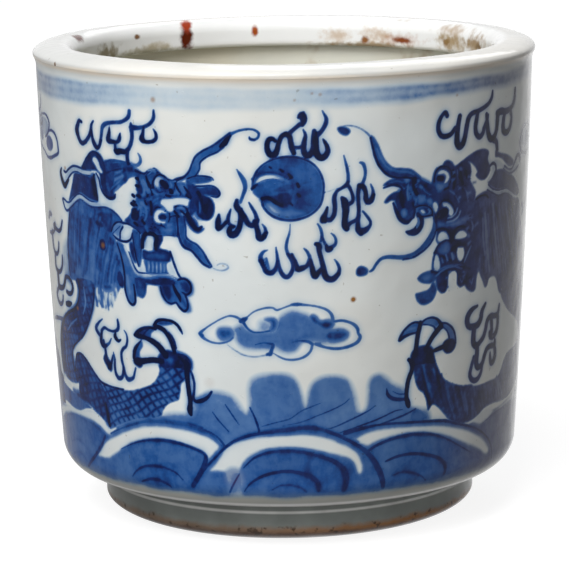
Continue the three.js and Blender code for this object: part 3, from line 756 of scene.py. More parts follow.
LEFT_WISPS = """
l0.92 -73.2,139,0.9 -74.6,139.3,1.3 -75.6,137.8,1.7 -76.2,136,2 -75.5,134,1.6 -74.6,132.6,1.5
 -73.2,132.1,1.5 -71.3,133,1.4
l0.85 -71.6,132.8,1.4 -69.6,134.8,1.4 -68.5,136.8,1.4 -68.2,138.5,1.1 -67.1,139.9,0.7
l0.9 -68.4,137,1.3 -68,134.5,1.3 -67.2,132.6,1.7 -66,131.4,1.5 -64.8,132,1.3 -63.9,134,1.3
l0.76 -64,133.6,1.3 -63.4,136.3,1.3 -62.8,138.4,1.5 -61.2,139.6,1.4 -58.5,140.2,1.2 -55.5,140.5,1.2
 -53.2,141.3,1.2 -51.5,142.6,1.4 -51.1,144.4,1.3
l0.92 -59.7,138.7,0.5 -60,136.5,1.4 -60.4,134.4,1.9 -58.5,134,1.4 -56.6,134.1,1.2 -55.6,135.2,1.5
 -55.2,136.9,0.6
l0.8 -57.6,133.8,1 -57.5,132,1.2
l0.95 -57.5,131.2,1.5 -56.8,130.9,2 -55.4,131.2,1.8 -53.5,131.2,1.6 -52,132.2,1.4
l0.78 -52.2,132,1.4 -51,134,1.4 -50.4,136.5,1.4 -50.6,139,1.6 -50.7,140.5,0.8
l0.8 -50.6,139.2,1.8 -49.5,139.2,1.6 -47.5,139.3,1.3 -45,140,1.2 -43,141.3,1.2 -42,143,1.2
 -41.9,145.2,0.7
l0.9 -52.4,131.8,1.4 -52.7,129.5,1.4 -52.4,127.4,1.4
l0.95 -45.8,139.8,0.9 -46.2,137.5,1.2 -46.6,135.8,2 -45.3,135,1.2 -43,135.2,1.2 -41.5,136.2,1.2
 -41.4,137.8,1 -42.3,139.2,0.4
l0.6 -48.4,131.1,0.5 -47.6,129.8,1 -47.6,128.3,1.2 -48.8,127.2,1.2 -50.5,127.2,1
"""

LEFT_EDGE = """
l0.8 -106.6,102.8,1.4 -104.6,104.6,2 -102,104.6,1.4
l0.88 -106.4,98,1 -103,98.3,1.5 -100.2,99.2,1.4 -98.5,100.8,1.9 -96.5,100.4,1.6 -94,100.3,1.5
 -92,101.7,1.5 -90.6,104.2,1.1
l0.95 -99.7,101.4,1.6 -98.2,102,1.6
l0.85 -102.5,99,1.7 -102.6,96,1.9 -102,93.4,1.8 -100.4,92,1.7 -98,92,1.5 -96.2,93.5,1.4
 -95.3,96.2,1.1
l0.88 -100.6,91.5,1.4 -100.9,89,1.7 -100.6,87,2 -98.5,86,1.8 -96,86.3,1.6 -94,87.8,1.5 -93,90,1.4
 -92.8,92.2,0.9
l0.92 -98.8,86,2 -98.8,83.5,2.3 -98.6,81,2.2 -96,80.8,2 -93.5,81.6,1.8 -92,83.5,1.8 -90.8,85.3,1.8
 -88.5,85.5,1.6 -86.5,84.5,1.6 -85.6,82.5,1.7 -86.8,80.6,1.6 -89,80,1.8 -90.8,80.3,1.6
l0.85 -98.8,80.4,1.6 -101,79,1.8 -102,77.2,2 -100,75.2,1.8 -97.5,75,1.6 -95.5,76.3,1.5
 -94.8,78.2,1.1
l1 -92,76,1.8 -89.8,76.3,2.3 -87.6,76.9,1.2
l0.8 -110,68,1.2 -106,68.8,1.5 -102,69.4,1.5 -98,69.8,1.6 -95,70.2,1.5
w0.78 -101.6,130.4 -98.4,131.6 -95.4,130.6 -94.9,128.4 -97,126.8 -100,126.6 -102.4,128
l0.82 -106,138,0.7 -102.6,138.4,0.8 -99.6,137.8,1.1 -97.7,136,1.4 -98.3,133.9,1.3 -100.5,131.8,1.1
 -103.6,130.6,0.8
l0.8 -98.7,133.2,1 -95.6,133.7,1 -92.6,133,1.2 -90.7,131,1.2 -90.2,128.6,1.3 -90.2,127,1.2
 -92.2,126,1.2 -95,125.1,1.2 -98,124.3,1.3 -102,124.2,1 -106,125.6,0.8
w0.3 -112,135 -106,137 -101,136.8 -99,135 -101,132 -106,131 -112,131.6
l0.78 -106,138,0.7 -110,137,0.9 -113.6,134.4,1.1 -115,131,1.2 -113,127.8,1.1 -109,126.2,1
 -106,125.6,0.8
w0.6 -112.6,131.6 -110,133 -107,132 -107,129.6 -109.6,128.6 -112,129.6
"""

# The cloud in the middle
CLOUD = """
s0.46 -17.5,76 -14.6,77.2 -12.5,75.6 -9,75 -5,75.3 -3.4,76.8 -2.4,79.6 -0.6,81.2 2,81.8 5.4,81
 7.6,79.8 9.2,78.8 10.8,77.4 13,76.8 14.6,76 16.5,75.5 18.6,74.9 19.3,73.6 18.6,72.2 16,71.4
 13,71.4 10.4,71.6 8.4,72 6,72.3 4.2,71.8 3.4,70 2,68.7 0,68.3 -2.4,69 -4.2,70.6 -5.6,70.2 -7,69.7
 -10,69.5 -13.4,69.7 -15.2,70.6 -16.4,72.4 -16.8,74.4
s0.66 -22.6,74.4 -22,75.8 -19.8,76.3 -17.8,75.8 -17.3,74 -18.6,72.8 -20.5,72.3 -22.1,73.1
s0.86 -21,75 -19.2,75.6 -17.8,74.6 -18.6,73.4 -20.4,73.6
s0.3 -9,76 -8.9,78.4 -7.2,79.1 -5.2,78.2 -4.8,76.2 -7,75.2
s0.9 -7,79.2 -5.2,79.5 -3.8,79 -3.5,77.2 -4.4,75.7 -5.6,75.6 -5,77.4 -5.4,78.5
l0.60 -2.3,78.6,0.6 -2.7,76.9,1 -3.4,75.6,0.6
s1 7.3,79.6 8.1,80.2 9,79.6 9.7,78.6 11,78.1 13,78.3 14.3,77.5 14.1,76.5 12.8,75.6 10.8,76.2
 9.4,77.4 8,78
s0.74 12.1,74.2 13.4,75.3 15.6,75.4 17.8,75.2 19.4,74 18.9,72.6 17,71.7 14.5,71.4 12.6,72 11.9,73.1
s0.84 14,74.6 17,74.8 18.6,73.6 17,72.4 14.4,72.2
l0.62 -14.4,78.8,0.9 -16.4,79.9,0.9 -18.5,80.2,0.7 -21,79.3,0.6 -24,77.6,0.6 -26.6,75.8,0.7
 -28.4,74.2,1.3 -27.8,73,1.4 -26.5,72,0.9 -24,71.2,0.8 -21.5,71.2,0.8 -19,72,0.8 -17.6,73.2,0.9
l0.73 -28.6,74,1.3 -27.9,73.3,1.5
l0.76 -14.9,78.6,1.5 -13.9,79.1,1.7 -13.1,79.6,1.1
l0.57 -13.2,79.6,0.7 -11,81.5,0.6 -8.5,82.6,0.7 -6,83.1,0.8 -4.5,83,0.8 -3.4,82.3,0.8 -1.5,82.9,0.6
 1,83.8,0.8 3,84.1,1.3 5,83.9,1 8,83.5,0.8 11,82.7,0.9 13,81.6,1 14.2,80,1.3 14.3,78.3,1.4
 13.6,77.6,1.2
l0.73 1.4,84,0.9 2.8,84.1,1.2 4.4,84,0.8
l0.72 -14.3,78.6,1.3 -13.5,77.2,1 -12.3,75.8,0.9 -10.5,75,0.8 -8,75.1,0.8 -5.6,75.6,0.9
l0.65 14.6,78,0.9 17,78.3,1 19.5,77.7,1 21.5,76.6,1.2 22.6,75.2,1.3 22.8,73.8,1 23.5,72.6,1.3
 22.8,71.1,1.3 20.8,70,1.2 18,69.3,1.1 15,69.2,1.1 12,69.8,1 10,70.6,1.3 8.8,71,1.2
l0.62 8.8,71.2,0.9 10.4,71.2,0.9
l0.71 1.5,71.8,0.8 4,72.2,1 6.5,71.9,1.2 7.8,71,1.3
l0.58 7.8,71,1.2 7.4,69,1 6,67.4,1 4,66.4,0.9 1.5,66,0.9 -1,66.3,0.8 -3,67.2,0.7 -4.6,68.2,0.5
l0.43 -19.5,70.8,0.5 -17.5,69.3,0.6 -14.5,67.6,0.7 -11,67,0.7 -8,67.4,0.7 -6.4,67.8,1
l0.72 -6.4,67.9,1.2 -5.6,68,1.4 -5.2,69.5,1.3 -4.7,71,1.4 -6,71.4,1.1 -8,71.6,0.9 -10.4,71,0.6
s0.62 -10.4,71 -8,71.6 -4.8,71.2 -4.8,70.2 -6.4,70 -9,70
"""

# The right dragon
RIGHT_WHISKERS = """
w0.98 16.2,140.2 18,140.4 19.6,139.6 20,138.6 19,137.6 17.6,137.9 16.4,139
l0.5 16.6,140.2,0.7 19.4,140.7,0.6 22.6,139.9,0.7 25.4,138,0.8 27.2,135.8,0.9
w0.8 26.4,137 27.2,133.6 28,130.4 29.6,127.2 32,124.6 35,123.4 38.4,123 41,122.7 43.4,121.6
 44.4,122.3 42.7,123.9 40.5,125.4 37.5,126 34.4,126.4 32,128.3 30.4,131 29.2,134 27.6,136.6
k0.52 28.6,133,0.4 30,129.8,0.7 32.4,126.6,0.9 36,125.2,0.9 39.6,124.6,0.8 41.6,123.6,0.5
l1 26.6,136.4,0.8 27.4,133.2,1 28.2,130.2,1.1 29.8,127,1.1 32.2,124.5,1.1 35.2,123.2,1.1 39,122.9,1
 42,122.2,1
l0.7 49.4,110.4,1.4 49.9,107.4,1.8 49.5,104.8,2.1 48.2,102.4,2.5 46.6,100.6,2.4 44.6,99,2.1
 42,97.7,1.9 39,97.2,1.7 36,97.4,1.5 33,97.8,1.4 30.5,97.5,1.2 28.8,96,1.1 27.6,94.2,1
 26.6,93.6,0.8
l0.88 50.4,108,0.7 50.4,105,0.8 49.2,102,0.9 47.2,99.8,0.9 44.4,98,0.9 41.4,96.8,0.8 38,96.5,0.7
w0.94 22,93.6 22.4,95 23.6,95.6 25.2,95 26,93.9 25.4,92.6 23.6,92.3 22.4,92.6
"""

RIGHT_HEAD = """
w0.96 34.8,116.2 36.2,118.4 38.4,119.4 38.8,121.4 40.6,122.8 43.6,122.4 47,120.5 48.2,120.4
 48.8,123 50,124.9 52.4,125.4 53.2,126.6 54.8,126.9 56.6,126 57.6,124.7 59.2,125.2 61.4,126.2
 63.4,125.7 64.8,124.2 65.2,121.6 64.8,119.4 66.4,117.2 67.8,115 67.4,112.6 68.8,112.8 70.4,110
 72,104 72,98 70.6,91 69.6,86 69.2,82.8 67.4,82.2 65,83.4 63.6,85 61.6,84.6 59.7,86.4 59,89.6
 57.6,90.2 56.4,90.2 56,86.6 55,84.1 53,83.9 51.2,86 50.6,88.8 49.2,91 49.1,94.6 50,97.8 51.6,99.8
 50.6,101.2 50.6,104.6 49.4,108 49.4,110 48,112.4 45,113.3 42.4,112.4 41.6,109.8 40,108.6 38,108.7
 36.6,110.6 35.5,113.4
w0.84 30.8,121.1 33,122.5 36,123 38.8,122.4 40.4,121 40,119 38.4,119 37,120.4 34,121.1 32,120.7
k0.58 32.6,121.6,0.3 35.6,122,0.6 38,121.2,0.5
w0.9 31.2,115.6 32.5,117.3 34.5,118.5 36.6,118.5 38.4,117.6 37,115.6 34.8,115.8 33.5,116 32.2,115.2
v0.3 38,122.6 39.4,122.8 40,121.8 38.8,121.4
s1.15 36.4,118.4 38.6,119 40.4,121.4 41.6,121.6 41,117.6 39,113.6 37,113.6 36.4,116
l1 37,118.6,1.2 37.2,115.6,1.6 38,113,1.2
l1.15 41.8,122,2 41.6,119.4,1.8 42.6,117.2,1.8
s1.2 43,122 45.6,121.2 48.4,118.8 48.6,116.8 46.6,117.2 44.4,118.8 42.8,120.4
l1.2 46,116.2,1.6 46.4,115.6,1.4
s1.1 44,121.6 47.6,120 49,117.6 46.6,117.6 44,119.4
v0.5 43,115.6 45,116.4 47.6,115.2 48.4,113.8 46,114.2 43.6,114.2
v0.56 39.4,118.4 40.4,119.8 40.6,117.4 39.8,116
v0.5 37.4,112 38.4,112.6 38.8,111.2 37.8,110.4
k0.55 44.6,119.4,0.4 46,117.6,0.5 48,116.4,0.4
c0.06 50.4,122.9 51.3,123.9 53.2,124 54.9,123 55.5,121.3 54.6,119.9 53.1,119.5 53.7,120.6
 53.9,121.9 52.8,122.7 51.4,122.6
w1.2 50.5,122.3 52.4,122.5 53.5,121.8 53.4,120.4 51.8,120.3 50.3,120.6
v0.42 50.2,119.9 53,119.3 54.6,119 53,118.2 50.6,118.6
l1.05 49.2,120.6,0.9 49.6,123.2,0.9 51.2,124.9,0.9 54,125,0.8 56,123.4,0.9 56.4,121,0.9
 55.4,118.8,0.8
l1.1 50.8,118.2,1 53,117.6,1.2 55.2,118,1
l1.1 57,123.4,1.4 57.6,120.6,1.6 57.4,117.6,1.5
l1.1 60.4,124.4,1.2 60.2,121.6,1.4 61.4,118.6,1.4
l1.1 62.6,122.4,1.4 63.4,120.2,1.2
k0.5 58.8,123.6,0.4 59,120.4,0.6 59.4,117.6,0.4
k0.52 55.6,117,0.4 58,115.4,0.6 60,112.6,0.5
k0.52 62,117.4,0.5 63.6,115,0.6 64.2,112.4,0.5
c0.1 48.7,113.3 49.8,114.1 51,112.9 50.9,111.4 50,110.3 49.2,111.4
c0.1 52.8,113.5 54.9,113.3 56.8,111.7 57.8,109.9 56.8,108.6 55.4,109.2 55.5,110.7 54.4,111.8
 53,112.1
w1.25 50.3,109.6 51,111 53,111.7 55,111.3 55.4,109.9 54,108.5 52,107.9 50.8,108.4
l1 51.4,112.6,0.9 53,114,0.9 55.4,113.6,0.9 57.6,111.6,0.9 58.4,109.6,0.8
k0.26 55,108.1,0.6 57,108.4,0.8 58.6,109.4,0.6 59.4,111,0.5
k0.26 54.6,106.8,0.6 57.5,107,0.8 59.8,108.2,0.6 60.7,110,0.5
c0.12 43.8,111.9 44.7,112.1 46,111 45.5,110.3 44.4,110.8
v0.4 46.9,112.2 47.9,112.2 48.1,110.8 47.2,110.2
l1 42.4,113,0.9 44.6,113.4,0.9 47,112.9,0.9 48.6,111.4,0.9 48.8,109.8,0.9
l1 43.2,110.4,0.8 44.6,109.8,0.8 46.4,109.7,0.8 48.4,109.9,0.8
l0.9 43.2,110.8,1.6 44.3,108.8,2.5 43.9,106.6,2.8 42.3,105.2,2.7 40.4,105,1.9 39.1,105.4,0.8
k0.5 43.2,109.6,0.4 43.6,107.8,0.7 42.8,106.2,0.4
v0.5 51,107.4 54,106.6 58,106.6 61.5,107.5 65,107.8 66.4,107 62,104.9 57.5,105 53.6,105.4 51,105.6
c0.06 51,101.4 51.5,103.5 53.4,104.1 55,103.2 55.9,101.6 55.4,100.7 53.4,100.8 51.8,100.5
c0.08 58.3,101 59.2,102.6 61,103.4 62.8,103 64.2,101.6 63.4,100.8 60.8,100.5
l1.05 50.6,104.8,1 53,105,1 55.6,104,1 56.6,102,1.1 57,100,1
l1.05 57.4,100.5,1 58,103.4,1 60,104.6,1 63,104.3,1 65.6,102.4,1
v0.52 51.4,97.4 52.6,99.4 55,100 56.6,99 56,97.2 53.6,96.6
l1.05 50,97.4,1 51.6,99.6,1 54,100.7,1 57,100.5,0.9
c0.12 49.9,95.2 50.5,96.9 51.6,96.2 52.4,93.6 52.3,91.8 51.2,91.2 50,91.8 49.7,93.6
c0.06 59.4,96.4 60.4,98.6 62,98.4 63,96.4 62.8,94.4 61.6,93.2 60.2,93.8
v0.4 56.8,96.4 58.3,96 58.9,94.6 57.4,94.8
k0.36 63,92.4,0.4 64.5,95,0.7 66.4,97.8,0.4
l1.1 53.2,96,1 55.4,94.6,1 57.6,93.8,1
w1.05 56.6,98.2 60,99.6 64.4,100.2 66.2,101 66.6,98.6 63.6,97.6 59.8,98 58.4,97 56.8,97
k0.5 52,91.6,0.4 55,92.4,0.6 59,92.3,0.6 63,91.6,0.4
l0.95 49,91.4,1.4 51.6,90.6,1.2 54.6,91,0.8 58,91.6,0.8 62,91.4,0.9 66,90,1
c0.02 56,89 57.4,90.4 59.4,90.2 60,88 59.4,84.6 56.4,84 56,86.4
w0.84 43.5,89.8 45,91.1 48,91.7 50.4,90.8 50.8,88.6 49,87.6 46.5,87.8 44.6,88.5
v0.5 45.4,89.6 47,90.4 48.8,89.9 48,88.8 46.2,88.8
w0.8 42.8,84.7 43.4,82.6 45,81.1 47.2,80.8 49.7,81.9 51.1,84.4 50.8,87 49.4,88.2 48.7,86.5
 47.4,85.5 45,85.1 43.6,84.9
s0.56 45.4,83.6 48,84 49.4,85 49,83 47,82
k0.5 61.4,87.6,0.4 62.2,86.2,0.7 63.4,87.6,0.4
k0.5 66,86.6,0.4 67,84.8,0.7 67.8,86.6,0.4
k0.38 66,105.8,0.4 66.9,104,0.9 66.4,102.3,0.4
"""

RIGHT_HEAD_MARKS = """
l0.95 31,120.2,0.6 33.9,121,1.1 36.4,120.4,1.2 37.8,118.9,0.8
l0.95 34.4,115,0.9 35.7,112,1.6 37.2,109.6,1.9 39.2,108.5,1.6 41,109.5,0.9
l0.9 41.6,109.8,0.9 42,112,1.2 41.2,114.6,1.1
v0.3 37.4,112.2 38.5,112.6 38.9,111.2 37.9,110.5
v0.24 38.4,122.8 39.8,122.8 40,121.8 38.8,121.4
k0.42 39.6,120.8,0.5 39.2,118.2,0.7 39.6,115.4,0.4
k0.5 41,118,0.4 42.4,115.4,0.7 42,113.6,0.4
v0.46 43.4,115.8 45.6,116.2 46,114.6 44,114.2
v0.4 47.2,115 48.4,114.8 48.6,113.4 47.4,113.4
s1.15 41,117.6 42.6,117.6 42.8,115.8 41.4,115.8
s1.15 45.8,117 46.8,117 47,115.2 46,115.2
s1 42.6,112.8 45,113.4 48,112.4 48.4,110.4 46.6,109.9 44,110.2 42.8,111.2
c0.1 44,111.9 45.1,112.1 46.1,111 45.4,110.5 44.5,110.8
k0.2 47,111.9,0.4 47.7,111.2,0.6 47.3,110.5,0.4
l1.2 51,121.5,1.9 52.4,121.3,1.9
v0.44 50.4,119 52.6,118.8 52.8,117.6 51,117.4
v0.5 51.4,98.4 53,100 55.4,100.2 56.4,98.4 55.8,97 53.4,96.8 52,97.2
k0.34 54.6,96.4,0.6 55.6,94,0.8
k0.3 57.2,96.6,0.6 58,94,0.8
k0.42 52.8,95.6,0.5 53.6,93.6,0.6
k0.46 50.6,89.6,0.5 54,91.4,0.8 58,91.9,0.8 62.4,90.6,0.5
"""

RIGHT_MANE = """
w0.78 67.4,112.8 70,114.1 74,114.6 77,113.6 80,112.6 84,112.2 88,111.7 92,109.8 96,109 98.6,108.3
 100.4,105.6 101.8,102 103.6,99 106.2,96 108,92 108.6,86.6 107,82.6 103,81.2 98.6,81.6 96,82.2
 93,80.8 90.4,78.6 87,78.2 84,79.6 82.2,83.2 80.6,85.2 78.2,85.6 76.7,85 75.8,82.9 74.5,82.6
 73.2,84.8 71.7,87 70.6,88.6 69.4,87 67,90 66,96 67,102 68.6,106 67,110
s0.92 70,110 76,110.6 82,108 84,100 82,92 76,88 72,92 70,100
s0.6 88,106 95,106 99,100 102,92 99,86 92,86 88,94
w0.92 60,125.3 63,127 66,128.1 69,128.7 72,128.6 74.2,127.4 74.1,124.8 75,123.4 75.3,121.4
 74.2,119.7 72.4,118.7 70.4,118.7 68.8,119.4 67.5,120.7 68.4,121.5 67.3,123.2 65.1,125 63,125.4
s0.6 69,123.6 72,123.6 73,121 71,120 69,121
w0.86 75,118.6 78,120.4 81,120.8 84,120.2 87,118.5 91,117.3 94.2,115.4 97.2,112.8 98.4,110.6
 96,109.9 93,111 90,112.3 87,113.7 84,114 80.4,114.3 77,115.4 75,116.5 74.1,117.6
w0.88 78.4,127.6 80,126.5 83,125.7 86,124.9 89,123.8 91.6,122.2 91.4,120.9 88.2,120.9 85.4,122.3
 83,123.9 80.4,124.9 78.2,125.3
c0.12 74.6,126.8 75.4,124.8 77,123.9 79,124.3 81.6,123.4 84.2,121.8 87.2,120.4 90,119.8 93,120
 96,120.9 95.6,119.6 92.4,118.5 89,118.5 86.6,119 84,120.6 81.4,121.2 79.4,121.8 78.6,122.8 77,123
 74.8,123.2 73.8,125.4
c0.14 74.4,117.4 76.2,118.4 77.6,119.8 78.1,121.4 77.4,122.3 76.2,122 76,120.6 74.8,119 74,118.3
l0.95 74.9,122.4,0.9 76.6,123.3,1.1 78.4,122.6,1.1 78.9,121,1 78.2,119,0.8
l0.9 84.6,121.4,0.7 87.4,120,0.7 90.4,119.6,0.8 92.6,121,1.1 94.4,122.7,1.3 96,123.5,1.4
 97.8,122.9,1.3 98.8,121,1
l0.85 83.8,120.6,0.7 86.8,118.9,0.8 90,118.3,0.8 94,118.8,0.8 97,119.8,0.8
c0.1 74.4,116.4 76.4,115 79,113.8 82,113.3 85,113.4 87.4,113.4 90.4,112 93.4,110.6 96.4,109.9
 96.4,109.2 93,109.7 89.6,111 87,112.2 84.6,112.3 81.6,112 78.4,112.6 75.6,114.1 74.2,115.4
l0.9 74.6,116.6,0.8 76.8,115.1,0.8 80,114.1,0.8 84,113.9,0.8 87.4,113.6,0.7 91,112,0.7 95,110.4,0.6
l0.9 74,114.9,0.8 77,113.5,0.9 81,112,0.9 85,112.1,0.8 88,111.6,0.7 92,109.9,0.6
k0.22 69.8,104.8,0.6 70.3,102.4,0.9 71.5,100.5,1 73.5,99.1,0.7
v0.25 68.4,105.8 69.4,106.5 70.2,105.4 69.6,104.8
v0.38 72.3,104.9 73.6,105.2 75.8,103.2 75.6,102.2 73.8,103.6
v0.42 73,102.6 74.6,102 75,100.6 73.4,101.4
l1.1 70.6,107.6,1.4 71.8,105.6,1.4 72,103,1.3
l1.05 68,112.6,1 70.6,113.4,1 73.6,113.2,1 75.4,111.6,1
"""

RIGHT_CLAW = """
w0.6 37.4,70.2 38,72.4 40,74.2 42.4,75.2 44.6,74.8 44,72.4 41.8,71.9 39.6,71.5
k0.4 39,72.4,0.5 41,73.4,0.9 43.4,73.6,0.6
l0.98 45,75,1.3 43,75.4,1.1 41,74.8,1.1 39,73.3,1.1 37.7,71.5,1.3 37.2,70.2,1.4
l0.96 37.4,70.2,1.5 38.6,71,1.6 40.2,71.6,1.4 42,71.9,1.1 43.6,72,1
l1.1 43.4,64.8,2.5 43.7,68,2.2 44.1,71,2.2 44.7,73.5,2.2 45,75.2,1.6
w0.48 45.6,75.2 48,76 50.4,75.8 52.6,74.4 51.4,73 49,73.9 46.6,74.3
l0.95 45.4,75,1.1 47.5,76,1 49.8,76.1,1.1 51.8,75.3,1.3 53,74,1.9 53.8,72.6,2.2
l0.9 46,74.4,0.9 48.5,74,0.9 50.5,73.1,1 51.4,71.6,1.1
l1.1 47.6,66,2.5 48.7,68,2.2 50.1,69.8,2.3 51.8,71.4,2.5 53.5,73,2.3
w0.44 54.4,73.4 57,72.4 59,70.4 60,67.6 57.8,67.4 57.2,69.6 55.8,71.4 54.2,72.4
l0.95 54,73.8,1 56,73.3,1.1 58,72,1.1 59.4,70.2,1.1 60.1,68,1.1 60.2,66.2,1.3
l0.88 54.5,72.4,1 56,71.2,1 57,69.5,1.1 57.4,67.5,1.2
w1.22 54.4,66.4 55.8,67.9 58.5,68.1 60.2,67 60.1,64.9 58.5,63.5 56.4,63.4 54.9,64.6
l1.1 49.6,64.8,1.4 52,65.3,1.9 54.6,65.8,2.2
w1.12 41.4,63.6 42.4,66.2 45,67.3 48.2,67.1 50.2,65.9 51,63.2 51.6,60.6 48,61 44,61 42.2,60.4
l1.15 40.8,63.4,1.5 41.9,62.4,2.2 42.2,60,2.1 41,57,2 40.4,54,2 40.3,51,2 40.9,48.8,2.5
 41.2,47.8,1.8
l0.88 32.9,54.7,0.8 33.3,52.7,1.8 35,51.2,2.1 37.5,50.5,2 39.8,50.4,1.6
l0.8 35,53.6,0.8 37,52.5,1 39.5,52,1
"""

RIGHT_FLAMES = """
l0.92 70.8,77,0.9 68,76.2,1.7 66,74.5,2.2 65.6,72.5,2.2 66.6,70.8,2 69,70.3,2.2 71.5,70.7,2.2
 73,72.5,2 73.5,74.8,1.8 75.4,77,1.1
l0.92 69.5,70,2.2 69.2,67,2.3 69.4,64.8,2.2 71,63.6,2.2 73,64.4,1.8 75,66,1.8 76.2,68.5,1.8
 77,71,1.8 79,72.2,1.8 82,71.8,1.8 84,72.2,1.8 84.8,75,1.1
l0.9 84,71.8,1.6 84.2,69,1.8 83.5,66.3,1.9 81.5,65,2 79.5,65.3,2 78.8,66.8,1.3
l0.9 79.5,71.5,1.6 80,68.6,1.8 80.2,66,1.6
l0.92 71.5,63.4,2 71.6,60.5,2.1 71.4,57.5,2.2 72.8,56,2 75,57,1.8 76.2,59.5,1.8 77.6,61.5,1.8
 80,62,1.8 82.4,61.9,1.8 82.7,63.7,0.9
l0.9 82.5,61.5,1.6 83.3,59,1.9 82.6,56.6,1.9 80.8,56,1.8 79.9,58,1.4 79.8,59.8,0.7
l0.85 70,59.8,1.6 68.6,56.5,1.6 68.2,54,1.7 69.8,52.2,1.8 72.3,52,1.8 74.2,53.6,1.5 75,56,1.2
"""

RIGHT_WISPS = """
l0.95 54,141.3,1.5 53.2,142.4,1.4 51.8,141.4,1.3 50.7,139.4,1.5 50.5,137.2,1.6 51.6,135.2,1.6
 53.5,134.7,1.6 55.8,135.3,1.5 57.5,137,1.5
l0.98 59.4,140.6,1.6 58.8,138,1.8 58.4,135,2 58.4,132.2,2.2 59.5,130.8,2.2 61,131.6,2 62,134,1.9
l0.92 61.9,133.6,1.9 62.6,137,1.9 63.4,139.6,1.8 65,140.9,1.6 68,141.4,1.5 71,142.2,1.5
 73.7,143.4,1.4 75.2,145.2,1.3 75.5,147,0.9
l0.92 67.8,141,1.5 67.2,138.5,1.8 66.8,136,1.8 67.4,134,1.8 69,132.9,1.8 70.6,133.8,1.6
 71.3,135.5,1.6 72.6,137.6,1.6 73.2,139.4,1.2
l0.95 72.4,139.8,1.4 73,136.5,1.8 73.6,133.6,2 75,131.6,2.2 77,131.8,2 78.4,133.8,1.8 78.8,136.5,2
 79,139.4,2.2
l0.92 78.8,139.4,2.2 81,139.8,2.2 84,139.4,2 87,139.7,1.8 89.6,140.8,1.6 91,143,1.8 91.2,145.8,1.5
l0.92 83.6,139,1.8 82.8,136.4,2 82.8,133.6,2.2 84.4,132.4,2 86.4,132.6,1.8 88,134,1.8
 88.8,136.5,1.6 88.2,138.6,1.6
l0.9 76.8,131,2 78.6,130,1.8 79.2,127.4,1.6
"""

RIGHT_EDGE = """
l0.82 97.9,127.6,1.6 98.6,125,1.4 101,123.6,1.2 104.4,122.9,1 108,122.8,1
l0.8 97.9,127.6,1.4 99.4,130.4,1.2 102.4,132,1.1 106,132.6,1 109.6,132,1 112,129.8,1.1
 112.6,127,1.1 111.4,124.2,1 108,122.8,0.9
w0.32 101,130 104,131 107,130.4 108,127 105,124.8 101.6,125.6 100,127.6
w0.7 105.6,129.4 108,130.2 110,128.6 109.6,126.2 107.4,125.4 105.6,127
l0.7 104,105.6,1.8 105.4,104.6,2.2 104.6,102.6,1.6
"""

# The left dragon's small flames and claw
SMALL_FLAMES = """
l0.82 -68.3,74.6,0.6 -70.3,73.2,1 -72,71.3,1.6 -71.2,69.8,1.6 -69.6,68.6,1.3
l0.86 -69.2,70.6,1.2 -67.4,71.9,1.2 -65.5,71.4,1 -63,71.3,1 -61,72.1,1.4 -60.5,73.6,1.4
 -60.7,75.4,1
l0.95 -68.8,71,1.2 -69.4,69,1.5 -69.6,67,1.7 -68.6,65.6,1.7 -67,66,1.4
l0.75 -67.2,66,1.3 -65.5,67,1.1 -64.3,68.7,0.5
l0.9 -68.4,67.4,1.3 -67.8,65,1.3 -67.5,62.7,1.4
w1 -69.1,61.2 -67.6,63.2 -66.2,61.4 -65,60.4 -64.9,58.6 -65.5,57.5 -67,58.4
l0.9 -66.4,58.6,1.8 -65.4,59.8,1.4 -64.8,61,1.2 -64,63,0.9
l0.86 -63.7,64.2,0.5 -63.2,62,1 -63.4,59.5,1.2 -63,57,1.4 -61.8,55.8,1.7 -60.3,56.3,1.4
 -59.5,58,1.3 -59.3,60,1.2 -59.8,62,1.3 -59.8,64.5,1.2 -58.8,66.1,1.2 -57.5,67,1.1 -56.8,69,1
 -57,71,0.8 -58,72.3,0.4
l0.8 -59.2,60,1.2 -58.6,57.5,1.2 -57.5,56,1.8 -56,56.3,1.5 -55,57,1.2 -54.4,58.5,0.9 -53.8,60.2,0.8
l0.98 -62.1,71,0.9 -62.3,69.6,1.7 -61,68.4,1.3 -59.8,68.9,0.7
"""

